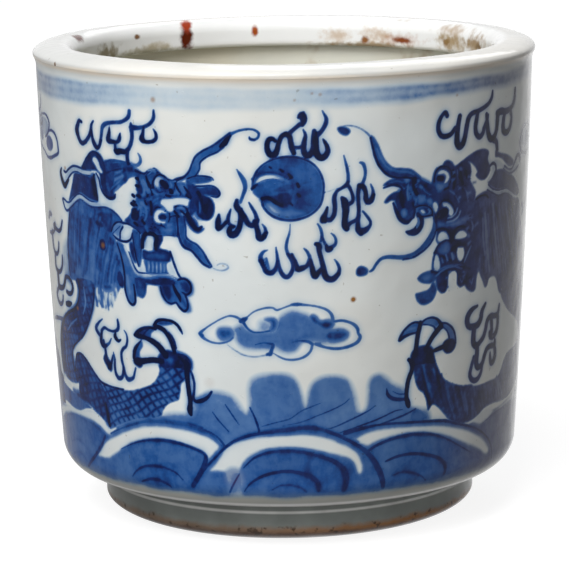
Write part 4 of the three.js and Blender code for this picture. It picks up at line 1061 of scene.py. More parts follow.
LEFT_CLAW = """
w1.05 -44.2,65.2 -42.4,67 -40.2,67.6 -38,67.2 -35.6,67 -33.6,66.4 -31.9,64.6 -32,62.4 -33.6,61
 -36.4,61.8 -39.4,61.6 -42.6,61.4 -44.2,62.8
s1.25 -38.6,66.6 -36,66.9 -33.6,66 -32.2,64.4 -32.6,62.2 -35,62.6 -37,64.4
v0.6 -41.6,64.4 -40,65.4 -38.6,64.6 -39.6,63
l1.25 -33.6,63.4,2.6 -33.8,60,2.4 -33.6,57,2 -33.3,54,2.1 -33,51,2 -33.3,48.4,2.6 -33,46.9,1.6
l0.92 -32.4,61.6,1 -31.4,58,1.2 -31.5,55,1.2 -31.8,52.6,1.4 -31,51.4,1.8 -28.6,51.9,2.2
 -26.6,53.3,1.7 -25.4,54.9,1.2
w0.64 -53,71.3 -51,72.9 -48,74.1 -45,74.3 -46.6,72.6 -47.2,70.6 -50,71
w0.6 -54.2,63.6 -53.8,66 -52.4,68 -50.8,69.6 -50.2,68 -51.6,66 -52,64
w0.68 -44.8,75 -41.4,74.6 -39,72.6 -37.4,69 -38,67.4 -39.4,70 -41,73
l1.08 -41.4,65.8,3.2 -43.6,68.4,2.8 -46,69.9,2.5 -49,70.9,2 -51.8,71.2,2.4 -53.2,71.3,1.7
l0.98 -53.3,71.4,1.5 -51.8,72.7,1.8 -49.4,73.9,1.7 -47,74.4,1.5 -44.8,74.3,1.5
l0.9 -50,71.2,1 -49,72.7,1.3 -47.6,74,1.4
l1.15 -45,75.2,1.5 -43.4,74.9,2 -41.4,74,2 -40,72.2,1.8 -38.8,69.9,1.8 -38,67.2,1.9
l0.95 -39.8,73.4,1.2 -38.2,71.4,1.2 -37.4,68.6,1.2
l1.1 -45.3,75.4,1.3 -43.8,77,1.5 -41.2,77.5,1.3 -38.6,77.3,1.3 -36.6,76.3,1.3 -35.4,74.7,1.2
 -34.8,73.4,0.5
w0.6 -44,76.4 -41,77.3 -38,76.8 -39.4,76.1 -42.4,75.7
l1.1 -42.8,63.7,2.4 -46,63.8,2.4 -49,63.3,2.4 -51.5,62.7,2.8 -53.4,62.4,2.8
w1.2 -54.6,62.6 -53.4,64 -51.2,63.8 -50.8,61.6 -52,60.6 -53.8,61.4
l1 -54.2,63.5,1.7 -53.8,66,1.9 -52.4,68,1.5 -50.8,69.7,0.7
"""

# Rocks and waves
ROCKS = """
s0.44 -44,43 -43,45.6 -40,46.6 -36,46.8 -32.6,46.8 -31.2,49 -30,52.2 -27.4,54.2 -24,55.1 -21,54.8
 -18.4,53.8 -16.4,51.6 -15,49.2 -13.9,48.4 -12.8,50 -12.8,53.4 -12.9,56.6 -12,59.4 -9.6,60.8
 -6,61.3 -2,61.4 1,60.6 2.8,58.4 4,55 4.9,51.4 5.4,49.6 6.1,51.6 6.6,55 7.8,58 10.4,59.8 14,60.2
 17.6,59.6 20.2,57.6 21.8,54 22.6,50.4 23.4,48 24.6,47.6 25.8,49.2 26.3,52.6 26.5,56.4 27.6,58.8
 30,59.6 32.6,58.4 35,56.2 38,54.6 39.4,52 40,48.6 42,47 45,46.6 48.6,45.6 50,43.4 48,41 40,40.4
 30,40.6 22,39 14,40 6,42.4 -2,42 -8,41 -14,39.6 -19,37 -21,36 -23,38.6 -28,41.4 -36,42.6
s0.48 -12,58 -8,60 -2,60 1,57 3.6,52 4,48 0,46 -6,46 -11,48 -12,53
s0.44 7.6,56 12,59 18,57 20.6,52 21.6,48 16,44 9,46 7,50
s0.48 -28,51 -24,52.4 -19,51 -16,47 -16,43 -20,40 -26,43 -31,46
w0.62 43,46.4 45.4,46.2 47.4,45 49,43.2 47.4,42.3 43,42.4 42,44
l0.82 -25.4,48.4,0.5 -23.6,45.9,0.7 -20,42,0.6
l0.82 -20.9,51,0.5 -18.6,47.6,0.7 -16.4,44.4,0.5
l0.82 -12.6,50.2,0.6 -11,46.6,0.8 -9.9,43,0.9 -9.8,41.2,0.6
l0.78 -9,44,0.5 -4,45.4,0.6 0.4,46.6,0.6 4,49,0.6 8,50.6,0.6 11,51.7,0.4
l0.78 -2,44.2,0.5 4,45.4,0.6 9,47.2,0.6 14,49,0.6 18,50.8,0.6 20,52.4,0.4
l0.78 9,42.6,0.5 14,43,0.6 20,45.2,0.7 26,47.6,0.6 29,49.4,0.4
l0.82 17,41.4,0.5 24,43.2,0.7 30,44.8,0.7 36,46.8,0.6 39,47,0.4
l0.82 30,42.8,0.6 36,44.2,0.8 40,45.2,0.8 44,46.6,0.6
"""

WAVES = """
w0.57 -118,37 -110,38 -102,39.4 -94,39.8 -86,40.4 -80,41.6 -75,41.4 -71,39 -67.8,36.4 -63,38.2
 -58,40.2 -52,42.2 -46,43.2 -40,43.4 -34,43 -28,42 -25,40.6 -22,37.6 -18,39.6 -13,41.4 -7,42.2
 -2,42.6 5,43.4 10,42.8 15,41.2 18,40.6 24,42 30,42.8 36,42.7 42,42.3 48,41.8 54,41.1 58,40.3
 63,38.6 68,37.4 74,38.6 80,39.4 88,39.6 96,40.4 104,40.2 112,39 118,38 118,15 60,15 0,15 -60,15
 -118,15
s0.62 -60,24 -44,31 -33,28 -34,20 -60,20
s0.58 -12,22 -4,29 8,28 12,20
s0.62 24,34 31,30 32.6,20 22,19 21,25
s0.64 34,26 46,32 58,28 66,22 34,20
v0.04 -112,36.8 -104,39 -98,40.2 -92,40.4 -86,40.9 -80,42 -76,42 -72,40.6 -69.3,38.6 -67.4,36.7
 -67.8,35.6 -70.5,35.8 -74,37.6 -79,38.6 -85,38.7 -92,38.4 -98,37.6 -104,36.2 -110,34
v0.02 -77.2,27.2 -74.6,29.6 -71.5,32.6 -66,35.4 -60,38.2 -55,40 -50,41.2 -45,41.8 -40,41.9 -35,41.5
 -30,40.6 -26,39.2 -23.5,37.4 -23.6,36 -25.2,34 -27.3,31.8 -28.3,32.2 -28.6,33.6 -31,35 -35,36.4
 -40,37.2 -45,37.1 -50,36.5 -55,35.1 -60,32.8 -66,29.6 -70,27.4 -74,26.9
v0.02 -27,28.5 -25.4,30.6 -23,34 -21.5,36.4 -18.6,38.2 -14,39.8 -8,40.8 0,41.2 6,41.2 12,40 17,37.8
 20.6,36 22.6,34.4 23.8,32.4 24.7,30 24.6,27.8 23.8,27 22.8,27.8 22.2,30 20.4,32.2 17,33.6 12,35
 7,36.2 2,36.8 -4,36.8 -9,36 -13,34 -15.2,31.8 -17,29 -19,27.6 -22,28.4 -24.4,28.6
v0.3 -21.9,28 -21.2,24 -20.4,20.6 -16.4,20.6 -15.2,24 -15.6,28 -17.4,30 -20,30
l0.76 -20.4,21.6,0.8 -18.6,25,0.8 -16.8,28,0.6
v0.03 20.4,38.2 23,39.4 27,40.8 32,41.3 38,41.2 44,40.8 50,40.2 56,39.2 60,38.2 64,37 69,35.2
 73,33.4 77,31.2 80,28.8 82,26.6 81.6,25.2 79.6,25.2 77,26.8 73,28.9 69,30.6 64,32.7 60,34.5 56,36
 52,37.2 48,38 43,38.5 38,38.6 33,38.1 28.6,37 26.4,36.2 24,36.8 21.6,37.6
v0.08 68.6,38.6 74,40.6 79,41 83,40.2 84,38.8 82,37.6 78,36.6 75.4,36.2 72,37.1
v0.1 84,38.9 90,39.4 97,40.6 103,41.2 110,40.6 118,39.4 118,36.5 110,38 103,38.7 97,38.8 90,38.5
h0.64 -71.8,34.2,1 -74.6,31,1.4 -78.6,27,1.4 -83,23.4,1.2
l0.78 -71.2,34.8,0.9 -73.6,31.4,1.2 -77.6,27.4,1.3 -82,23.8,1.3 -85,21.4,0.8
l0.62 -104,35.4,0.5 -98,37,0.8 -92,37.9,0.9 -85,38,0.9 -79,37.6,0.9 -74.4,36.2,0.9 -71.4,34.8,1
l0.62 -98,27.6,0.6 -93,29.4,0.9 -88,29.4,0.9 -84,27.8,0.7
l0.62 -97,23.6,0.6 -92,25.2,0.9 -88,25,0.8 -84.6,23.4,0.6
h0.68 -63,30.8,0.8 -57,33.8,1.2 -52,35.4,1.4 -46,36.4,1.5 -41,36.4,1.5 -36,35.7,1.4 -31,34.4,1.4
 -29.2,32.8,1.6 -29.4,30,2 -32,25,2 -34,22,1.6
l0.8 -63,31.6,0.4 -57,34.4,0.7 -52,36,0.9 -46,37,1.1 -41,37,1.2 -36,36.4,1.1 -31,35,1.1
 -28.6,33.6,1.2 -28.5,31.6,1.6 -29.8,28.6,1.7 -31.6,25.6,1.7 -33.4,22.9,1.6
h0.66 -58.5,22.6,0.8 -56,25.1,1.4 -52,27,1.6 -47,27.7,1.6 -43,27.3,1.6 -39.6,26.2,1.4 -37,24,0.8
l0.8 -58.5,23,0.6 -56,25.5,0.9 -52,27.4,1.1 -47,28.1,1.1 -43,27.7,1 -39.6,26.6,0.9 -37,24.4,0.6
h0.64 -54.5,21.8,0.6 -50.4,23,1.2 -46.4,23.1,1.2 -43,22,0.8
l0.82 -54.5,21.8,0.7 -50.4,23.3,1.2 -46.4,23.4,1.2 -43,22.2,1 -41.8,21.2,0.6
h0.66 -15.2,29.8,0.8 -12,33,1.4 -8,34.8,1.6 -3,35.6,1.6 1,35.6,1.6 6,34.8,1.6 10,33.5,1.6
 14,31.9,1.8 17,29.8,2 18.4,27,2 18.6,24,2
l0.78 -15.4,30,0.5 -12,33.2,0.9 -8,35,1.1 -3,35.8,1.2 1,35.8,1.2 6,35,1.2 10,33.8,1.2 14,32.3,1.5
 17,30.2,1.8 18.8,27.5,2 19,24.5,1.9 18.2,21.8,1.4
h0.66 -15.4,21.8,0.6 -13,24.8,1.4 -9,27,1.6 -4,28.4,1.6 0,28.6,1.6 4,27.9,1.6 7.6,26.2,1.6 9,24,1.6
l0.82 -15.4,22,0.5 -13,25,0.9 -9,27.4,1.1 -4,28.8,1.2 0,29,1.3 4,28.3,1.4 7.6,26.8,1.6 9.5,24.6,1.7
 9.6,22.4,1.4
l0.76 -6,22.8,0.6 -3,24.3,0.9 0,24.4,1.1 3.6,23.6,1.1 5.5,22,0.9
h0.66 -33.6,22.4,1 -31.4,25.6,1.4 -29,28.6,1.4 -26.4,31.6,1.2 -24,34.4,1.2
l0.78 -33,23.4,0.8 -31.4,25.8,1.1 -29.4,28.4,1.1 -27,31,1 -24.6,33.4,0.9 -21.6,36.5,1 -18,39,1.1
 -13,41,1.2 -7,42,1.2 -2,42.6,1.3 5,43.4,1.4 10,42.8,1.3 15,41,1.3 19,39,1.3 22.4,36.9,1.3
 25.8,34.4,1.7 28.5,31.2,1.9 30.6,27.6,2 32,24,1.9 32.3,21.6,1.4
h0.66 -18,39.6,1.4 -13,41.6,1.6 -7,42.6,1.6 -2,43.2,1.6 5,44,1.6 10,43.4,1.6 15,41.6,1.6
 19,39.6,1.4 22.4,37.4,1.2
h0.7 26,34,1.6 29,31,2.2 31,27.6,2.4 32.3,24,2.2
l0.7 -68,36,0.6 -63,38.4,0.8 -58,40.4,1 -52,42.4,1.1 -46,43.3,1.2 -40,43.5,1.2 -34,43.1,1.2
 -29,42.2,1.1 -25,40.6,1 -22.6,38.6,1 -21.5,36.9,1
h0.64 -64,38.6,1 -58,41,1.4 -52,43,1.6 -46,44,1.6 -40,44.2,1.6 -34,43.8,1.6 -29,42.8,1.4
h0.72 27,34.8,1.2 30,36,1.4 36,37.3,1.6 43,37.6,1.6 49,36.8,1.6 54,35.4,1.4 59,33,1.2 64,30.2,1
l0.8 26.6,34.5,1.1 30,36.2,1.1 36,37.7,1.2 43,38.1,1.2 49,37.4,1.1 54,36,1 59,33.8,0.9 64,31.1,0.8
 69,28.4,0.7 72,26.8,0.4
l0.82 33,30.3,0.8 37,31.4,1.1 42,31.7,1.2 47,31,1.2 52,29.5,1.3 55.6,27.6,1.4 57.6,25,1.5
 57.4,22.8,1.2
l0.78 35.5,25.2,0.6 39,25.9,0.9 43,25.3,1 47,23.6,1 49.2,21.8,0.8
l0.82 18.6,41,1.4 24,42.1,1.3 30,42.8,0.9 36,42.7,1 42,42.3,1 48,41.8,1 54,41.1,1 58,40.3,1.1
 63,38.6,1 68,37.1,0.9 73,35.3,0.9 78,32.5,0.9 82,29.5,0.9 84.5,26,0.8 85.4,22,0.5
l0.68 76.6,36,0.5 84,37.8,0.8 90,38.3,0.9 97,38.4,0.9 103,37.8,0.8 109,36.2,0.6
l0.62 84,29.8,0.5 90,32,0.8 97,32,0.8 104,29.6,0.6
l0.62 88,24,0.5 94,26,0.8 101,25,0.6
"""

# Bodies, arms and tails
LEFT_BODY = (
    "-83,86 -81.4,82 -82.6,77.8 -86,75.2 -91,73.2 -95.4,70.4 -98.6,67.4 -100.8,63.5 -101.8,59"
    " -101.6,54 -100.4,50.4 -97,49.6 -93,49.2 -89,49.4 -86.4,50 -86.4,46 -80,44 -74,41.6 -70,39.4"
    " -68.4,38.4 -67.4,42 -68,47 -70.6,51.8 -74,54.6 -77,57 -80,59.2 -83.4,60.5 -86.4,59.8"
    " -88.6,57 -89.6,60 -88,62.2 -85,64.2 -81,66.7 -78,69.8 -75.4,73.6 -73,78 -71.4,82 -71.8,86.4"
    " -77,87")

LEFT_BODY_EDGES = """
s0.92 -81.2,86 -79.4,86 -78.6,80 -81,75.4 -86,72 -91,70 -95.4,67.4 -98,63 -98.8,57 -98,51
 -101.4,50.6 -102.4,56 -101.4,63 -98.6,68 -94,71.6 -88,74.4 -83.6,77.4 -81.8,81
s0.86 -73.6,84 -75,78.6 -77.4,74.4 -81,70 -86,66 -91,62.4 -91.4,57 -90,54 -88.8,57 -89.8,60
 -88,62.2 -83,65.8 -79,69 -75.4,73.6 -72.6,79
s0.85 -88.8,55 -84,58.6 -79,57.4 -74,53.4 -70,51 -72,49.6 -77,53.6 -82,56 -86,54
s0.9 -70.6,51 -68,50 -67,44 -68,39 -70.4,40 -70.6,46
l0.95 -81.4,86,1 -80.9,82.6,1.1 -82.4,78.2,1.3 -86,75.2,1.4 -91,73.1,1.4 -95.4,70.4,1.5
 -98.6,67.4,1.6 -101,63.5,1.6 -102,59,1.6 -101.7,54,1.6 -100.4,50.6,1.4
l0.92 -71.6,84.6,0.9 -73,78.4,1 -75.4,73.8,1.1 -78,70,1.1 -81,66.9,1.1 -85,64.4,1.1 -88,62.4,1.1
 -89.8,60,1.1 -89.9,56,1 -89.4,53.5,1.1 -88,55.5,1 -86.6,59.4,1.1 -83.4,60.5,1.1 -80,59.3,1.1
 -77,57.1,1.1 -74,54.7,1.1 -71,52.9,1.1 -66,52.2,1 -60,52.1,0.9
l1 -69.6,46,1.2 -68.8,42,1.8 -68.2,38.8,1.6
k0.4 -78,84,0.5 -77.4,79,0.8 -79.4,74.6,0.5
k0.42 -84,72.4,0.4 -89,69.6,0.8 -93,66.8,0.4
k0.42 -95.4,62.8,0.4 -96.4,58.4,0.8 -96,54,0.4
v0.06 -101.5,50.2 -99.5,48.8 -96,47.6 -93.5,47.5 -94,48.7 -97,49.5 -99.5,50.7
v0.06 -91.5,48.7 -89.5,47.4 -87.3,47 -87.2,48.3 -89,49.1
w0.68 -112,47 -104,47.8 -99,46.8 -94,46 -88,45.6 -86,44.8 -80,43.4 -74,41.4 -70,39.6 -73,42
 -77,42.8 -82,42.2 -87,40.6 -93,40.4 -100,41.2 -112,41
s0.9 -92,46.6 -86,47 -80,47.6 -76,46 -80,43.8 -87,44
"""

LEFT_ARM = (
    "-70,52.6 -68,52 -63,52.2 -58,52.1 -54,53 -51,54 -48,55.2 -46,56.8 -44.8,58.4 -44,60.4"
    " -43.8,63 -38,63 -34.4,61 -34.6,58.4 -36,57 -36.6,54 -37.2,51.6 -40,50.4 -41.8,49.3"
    " -43.4,47.4 -44.4,45.4 -48,44 -52,43.6 -58,41.8 -64,39.4 -67,38 -68.6,38.6 -68.6,45 -70.6,50")

RIGHT_BODY = (
    "83,84 84.6,80 86.6,77 89.6,74 93.4,71.4 98,69.2 102.4,67.2 106,64.8 108.2,62 107.4,59.2"
    " 104,57.8 99,57.4 94.4,57 91,55.2 88.4,52 85.6,50.2 80,50 75,49.8 70,50.1 65,51 65,45 66,39"
    " 70,38.6 74,39.8 78,41.4 84,41.8 92,41.2 100,42 108,44.6 114,49 118,55.4 119.4,62 118,68.6"
    " 114,74 109,78.4 105,82 98,84.6 90,86")

RIGHT_ARM = (
    "42.6,61 44,65.6 49.6,65.6 51,62.8 52.2,60 53.8,57 56.2,54.5 60,52.6 65,51.1 70,50.2 70,44"
    " 68,39 64.4,38.4 61,39.6 58.4,41 56,43.3 53.5,45.7 51,47.2 49.3,45.4 48.7,46.4 48.2,49"
    " 47,51.4 45,53.1 43.7,55.6 43.2,58")

SIDE_WAVE = """
w0.57 -22,39 -14,42 -6,43.6 0,44 6,43.6 14,42 22,39 22,15 -22,15
v0.04 -13,28 -12,32 -9,36 -5,38.8 0,39.8 5,38.8 9,36 12,32 13,28 10.5,28 9,31 6,33.6 0,34.8 -6,33.6
 -9,31 -10.5,28
h0.66 -8.6,22,1.2 -7.6,26.4,1.6 -4.4,30.4,1.6 0,31.6,1.6 4.4,30.4,1.6 7.6,26.4,1.8 8.6,22,1.6
l0.76 -16,22,1 -15.6,28,1.4 -13,34.4,1.4 -8,39.6,1.2 0,42,1.2 8,39.6,1.2 13,34.4,1.4 15.6,28,1.6
 16,22,1.6
l0.76 -8.6,22,0.8 -7.6,26.4,1.1 -4.4,30.4,1.2 0,31.6,1.2 4.4,30.4,1.3 7.6,26.4,1.5 8.6,22,1.5
l0.74 -3.6,22.4,0.7 -1.6,24.6,0.9 1.6,24.8,1 3.6,22.4,0.9
"""

TAIL_TUFT = """
l0.92 0,-2,2.4 -3,4,2.2 -2.4,9,1.8 0.6,13.6,0.7
l0.9 0.4,-2,2.4 3,3.6,2.2 5.6,8,1.7 6.4,12.6,0.6
l0.9 -0.6,-2,2.2 -5.6,2,1.9 -8.6,6.4,1.5 -9.2,10.6,0.6
l0.86 0.6,-3,1.8 6,0.4,1.6 9.8,3.6,1.2 11.4,7.4,0.5
"""

LEFT_TAIL = (
    "-102,44,8 -112,47,12 -124,57,15 -134,72,16 -146,88,16 -160,97,15 -174,96,14 -186,87,12"
    " -196,76,11 -206,68,9.5 -215,68,8 -221.6,75,6.5 -224.6,86,5 -225,96,4 -223.6,104,2.4")

RIGHT_TAIL = (
    "110,46,9 120,49,13 131,58,15 141,72,16 152,87,16 165,95.4,15 178,93,13 190,84,12 200,74,10.5"
    " 209,67.4,9 217,70,7.6 222.6,79,6 224.6,90,4.6 223,100,3.4 220.4,107,2.2")

# Brush hairs: roots, tips, dark tone, light tone, width, count and seed
LEFT_HAIRS = (
    ("-83,109.6 -78,112.4 -73,112", "-86.6,87 -83,86.4 -79,86.8", 0.8, 0.64, 0.9, 40, 3),
    ("-73,111.8 -66,111.2 -60.4,109.6", "-80,86.8 -74,86 -68,84", 0.82, 0.6, 0.9, 64, 5),
    ("-61.6,104 -59.6,100 -58,95", "-69,84 -65,81.6 -60,85", 0.86, 0.58, 0.8, 40, 7),
    ("-71,85.6 -66,86.4 -60,88", "-70.8,77.8 -66.4,76.6 -61,81", 0.5, 0.06, 0.9, 34, 9),
)
LEFT_TUFT_HAIRS = (
    "-52.8,127.2 -53,125 -53.4,122.6", "-64,126.4 -64.6,121 -60.4,116.6", 0.9, 0.4, 0.8, 34, 11)
RIGHT_HAIRS = (
    ("68,111 74,112.6 82,110.4 92,108.4", "70,88 78,86.6 92,81 106,84", 0.98, 0.52, 0.9, 80, 13),
    ("44.4,64 47,64.6 50,63", "49,47 55,44.6 60,41", 1.05, 0.6, 0.8, 16, 15),
    ("53,58 58,53.6 66,51", "59,41 64,39 70,39.6", 1.05, 0.62, 0.8, 18, 17),
    ("70,50 80,50 88,52", "72,39.8 82,41.4 94,42", 0.98, 0.6, 0.8, 22, 19),
)

# Dabs of the brush: outline, dark tone, light tone, count and seed
LEFT_DABS = (
    ("-44,123.4 -38,121 -33,122 -31,119 -34,118.4 -40,117.4 -43.6,118.6", 0.95, 0.42, 10, 31),
    ("-49,122 -46,122 -45,116 -45.5,110 -49,108 -50,112 -48,117", 0.98, 0.4, 16, 32),
    ("-48,107 -44,109.4 -38,109 -37,106 -42,105.8", 1.05, 0.44, 10, 33),
    ("-44,117.4 -36,116.8 -37,112.8 -43,114.6", 1.05, 0.44, 7, 34),
)
RIGHT_DABS = (
    ("36,118 40,122 47,120.4 48,114.4 42,113.6 37,113.4", 0.98, 0.46, 24, 41),
    ("56.6,125 64,123 66.6,116 61,111 56.6,116.4", 0.98, 0.46, 28, 42),
    ("61,109 68,108 68,100 65,97 62,103", 0.98, 0.46, 14, 43),
    ("50,89.6 58,91.6 66,90 67,84 60,86.6 53,85.4", 0.98, 0.46, 14, 44),
)

# The blue band below the lip: place along and tone
BAND_BOTTOM = 146.9
BAND_TOP = 152.4
BAND_TONES = (
    (-127, 0.26), (-100, 0.27), (-80, 0.23), (-50, 0.14), (-20, 0.12), (0, 0.11), (20, 0.2),
    (40, 0.3), (60, 0.33), (80, 0.35), (100, 0.31), (127, 0.28), (190, 0.2), (254, 0.24))

# Iron spots: place along, height, radius and strength
IRON_SPOTS = (
    (21.1, 84.9, 0.75, 1.3), (-65.6, 99.5, 0.8, 0.6), (-42, 148.6, 0.8, 0.6), (3, 149.2, 0.3, 0.7),
    (8.3, 151.2, 0.4, 0.5), (10.8, 150.8, 0.5, 0.5), (-85.5, 122.5, 0.6, 0.7),
    (-95.5, 67, 0.6, 0.7), (-83, 76, 0.6, 0.6), (-26, 58, 1.6, 0.12), (-18.5, 26.5, 3.0, 0.12),
    (58, 147.5, 0.4, 0.6), (150, 96, 0.6, 0.6), (-170, 60, 0.5, 0.6), (200, 128, 0.5, 0.5))


def moved(along, height=0.0, flip=1):
    """Places strokes elsewhere on the wall, mirrored where flip is -1."""
    return lambda pts: pts * (flip, 1, 1) + (along, height, 0)


def brush(share):
    """The same strokes with a brush of another width."""
    return lambda pts: pts * (1, 1, share)


def paint_back(paint):
    """The back and the sides: the dragons' bodies and tails, clouds, flames, rocks and waves."""
    draw(paint, ROCKS, moved(ROUND / 2))
    draw(paint, WAVES, moved(ROUND / 2))
    for side in (-ROUND / 4, ROUND / 4):
        draw(paint, SIDE_WAVE, moved(side))
    scaled_body(paint, LEFT_TAIL, -1)
    scaled_body(paint, RIGHT_TAIL, 1)
    draw(paint, TAIL_TUFT, moved(-223.4, 106))
    draw(paint, TAIL_TUFT, moved(220.2, 109, -1))
    left_leg = moved(-196, 0, -1)
    scales(paint, left_leg(read_points(LEFT_ARM)), 0.6, 0.98, 1.9, 50)
    draw(paint, LEFT_CLAW, left_leg)
    right_leg = moved(196, 0, -1)
    scales(paint, right_leg(read_points(RIGHT_ARM)), 0.7, 0.98, 1.9, 50)
    draw(paint, RIGHT_CLAW, right_leg)
    draw(paint, CLOUD, moved(ROUND / 2, 14))
    draw(paint, CLOUD, moved(-189, 42))
    draw(paint, CLOUD, moved(189, 40, -1))
    draw(paint, SMALL_FLAMES, moved(-118, -6))
    draw(paint, RIGHT_FLAMES, moved(112, -7))
    draw(paint, LEFT_WISPS, moved(-66, -1))
    draw(paint, RIGHT_WISPS, moved(64, -1))
    draw(paint, RIGHT_WISPS, moved(184, -2))


def paint_right_dragon(paint):
    """The right dragon, from its mane and body to its head, claws and flames."""
    draw(paint, RIGHT_MANE)
    scales(paint, read_points(RIGHT_BODY), 0.68, 0.8, 2.3, 12)
    scales(paint, read_points(RIGHT_ARM), 0.8, 0.95, 2.2, 78)
    for row in RIGHT_HAIRS:
        hairs(paint, *row)
    draw(paint, RIGHT_HEAD)
    for row in RIGHT_DABS:
        dabs(paint, *row)
    draw(paint, RIGHT_HEAD_MARKS)
    draw(paint, RIGHT_WHISKERS)
    draw(paint, RIGHT_CLAW, brush(FINE_BRUSH))
    draw(paint, RIGHT_FLAMES, brush(FULL_BRUSH))
    draw(paint, RIGHT_WISPS, brush(FULL_BRUSH))
    draw(paint, RIGHT_EDGE)


def paint_left_dragon(paint):
    """The left dragon, from its mane to its head, horns, flames, body and claws."""
    draw(paint, LEFT_MANE)
    for row in LEFT_HAIRS:
        hairs(paint, *row)
    draw(paint, LEFT_HEAD)
    hairs(paint, *LEFT_TUFT_HAIRS)
    for row in LEFT_DABS:
        dabs(paint, *row)
    draw(paint, LEFT_HEAD_MARKS)
    draw(paint, LEFT_MANE_MARKS)
    draw(paint, LEFT_HORNS)
    draw(paint, NOSE_FLAMES)
    draw(paint, SMALL_FLAMES)
    scales(paint, read_points(LEFT_BODY), 0.76, 0.96, 2.5, 25)
    draw(paint, LEFT_BODY_EDGES)
    scales(paint, read_points(LEFT_ARM), 0.56, 0.98, 2.5, 40)
    draw(paint, LEFT_CLAW, brush(FINE_BRUSH))


def paint_all(paint):
    """The whole painting; where strokes overlap, the later ones lie on top."""
    band(paint, BAND_BOTTOM, BAND_TOP, BAND_TONES)
    paint_back(paint)
    draw(paint, PEARL)
    draw(paint, FLAMES, brush(FULL_BRUSH))
    draw(paint, WHISKERS)
    draw(paint, ROCKS, brush(LOADED_BRUSH))
    draw(paint, WAVES, brush(LOADED_BRUSH))
    draw(paint, CLOUD)
    draw(paint, LEFT_WISPS, brush(FULL_BRUSH))
    draw(paint, LEFT_EDGE)
    paint_right_dragon(paint)
    paint_left_dragon(paint)
    bleed(paint)
    spots(paint, IRON_SPOTS)


def straight(start, end, step):
    """Points from start to end about step apart, without the end."""
    count = max(1, round(math.dist(start, end) / step))
    shares = np.arange(count)[:, None] / count
    return np.array(start) + shares * (np.array(end) - np.array(start))


def arc(centre, semi, first, last, step):
    """Points of an upright ellipse's arc from angle first to last, in degrees, without the end."""
    length = math.radians(abs(last - first)) * (semi[0] + semi[1]) / 2
    count = max(3, round(length / step))
    turn = np.radians(np.linspace(first, last, count, endpoint=False))
    return np.stack([centre[0] + semi[0] * np.cos(turn), centre[1] + semi[1] * np.sin(turn)], 1)


def wall_outside():
    """The painted side of the wall's section, from the underside's edge up to the seam."""
    edge = WALL_FOOT_RADIUS - TURN_DEPTH
    rounding = arc((edge, TURN_TOP), (TURN_DEPTH, TURN_HEIGHT), -90, 0, PAINT_STEP)
    count = round((SEAM - TURN_TOP) / PAINT_STEP)
    heights = np.linspace(TURN_TOP, SEAM, count + 1)
    return np.vstack([rounding, np.stack([wall_radius(heights) + flare(heights), heights], 1)])


def wall_inside():
    """The rest of the wall's section: from the seam down the inside, and along the underside."""
    fillet_top = SLAB_TOP + FLOOR_FILLET
    fillet_radius = SLAB_RADIUS + SEAT_CLEARANCE
    heights = np.linspace(SEAM, fillet_top, 40)
    inner = np.stack([wall_radius(heights) - WALL_THICKNESS, heights], 1)
    fillet_semi = (inner[-1, 0] - fillet_radius, FLOOR_FILLET)
    fillet = arc((fillet_radius, fillet_top), fillet_semi, 0, -90, 1.5)[1:]
    edge = WALL_FOOT_RADIUS - TURN_DEPTH
    return np.vstack([
        inner,
        fillet,
        straight((fillet_radius, SLAB_TOP), (fillet_radius, UNDERSIDE), 2.5),
        straight((fillet_radius, UNDERSIDE), (edge, UNDERSIDE), 4.0),
    ])


def lip_section():
    """The lip: a thick rolled edge with a skirt that reaches down inside the wall."""
    crown = TOP - LIP_SHOULDER_DEPTH
    crown_radius = WALL_TOP_RADIUS + LIP_OVERHANG - LIP_CROWN_INSET
    mouth = TOP - LIP_MOUTH_DEPTH
    mouth_radius = WALL_TOP_RADIUS + LIP_OVERHANG - LIP_WIDTH
    mouth_semi = (crown_radius - mouth_radius, LIP_MOUTH_DEPTH)
    skirt = wall_radius(SKIRT_BOTTOM) - WALL_THICKNESS - SEAT_CLEARANCE
    curl = LIP_UNDERCUT_RADIUS
    bead_radius = WALL_TOP_RADIUS + LIP_SWELL
    bead_semi = (LIP_OVERHANG - LIP_SWELL, crown - SEAM)
    return np.vstack([
        straight((skirt, SKIRT_BOTTOM), (skirt, SEAM), 1.0),
        straight((skirt, SEAM), (bead_radius, SEAM), 1.5),
        arc((bead_radius, crown), bead_semi, -90, 0, 0.2),
        arc((crown_radius, crown), (LIP_CROWN_INSET, LIP_SHOULDER_DEPTH), 0, 90, 0.4),
        arc((crown_radius, mouth), mouth_semi, 90, 180, 0.4),
        straight((mouth_radius, mouth), (mouth_radius, SKIRT_BOTTOM + curl), 0.8),
        arc((mouth_radius + curl, SKIRT_BOTTOM + curl), (curl, curl), 180, 270, 0.4),
        straight((mouth_radius + curl, SKIRT_BOTTOM), (skirt, SKIRT_BOTTOM), 1.5),
    ])


def slab_section():
    """The floor disc, with the boss under it that closes the foot's recess; it starts and ends
    on the axis."""
    return np.vstack([
        straight((0, SLAB_BOTTOM), (SLAB_BOSS_RADIUS, SLAB_BOTTOM), 3.0),
        straight((SLAB_BOSS_RADIUS, SLAB_BOTTOM), (SLAB_BOSS_RADIUS, UNDERSIDE), 2.0),
        straight((SLAB_BOSS_RADIUS, UNDERSIDE), (SLAB_RADIUS, UNDERSIDE), 4.0),
        straight((SLAB_RADIUS, UNDERSIDE), (SLAB_RADIUS, SLAB_TOP), 2.5),
        straight((SLAB_RADIUS, SLAB_TOP), (0, SLAB_TOP), 2.0),
        [(0, SLAB_TOP)],
    ])


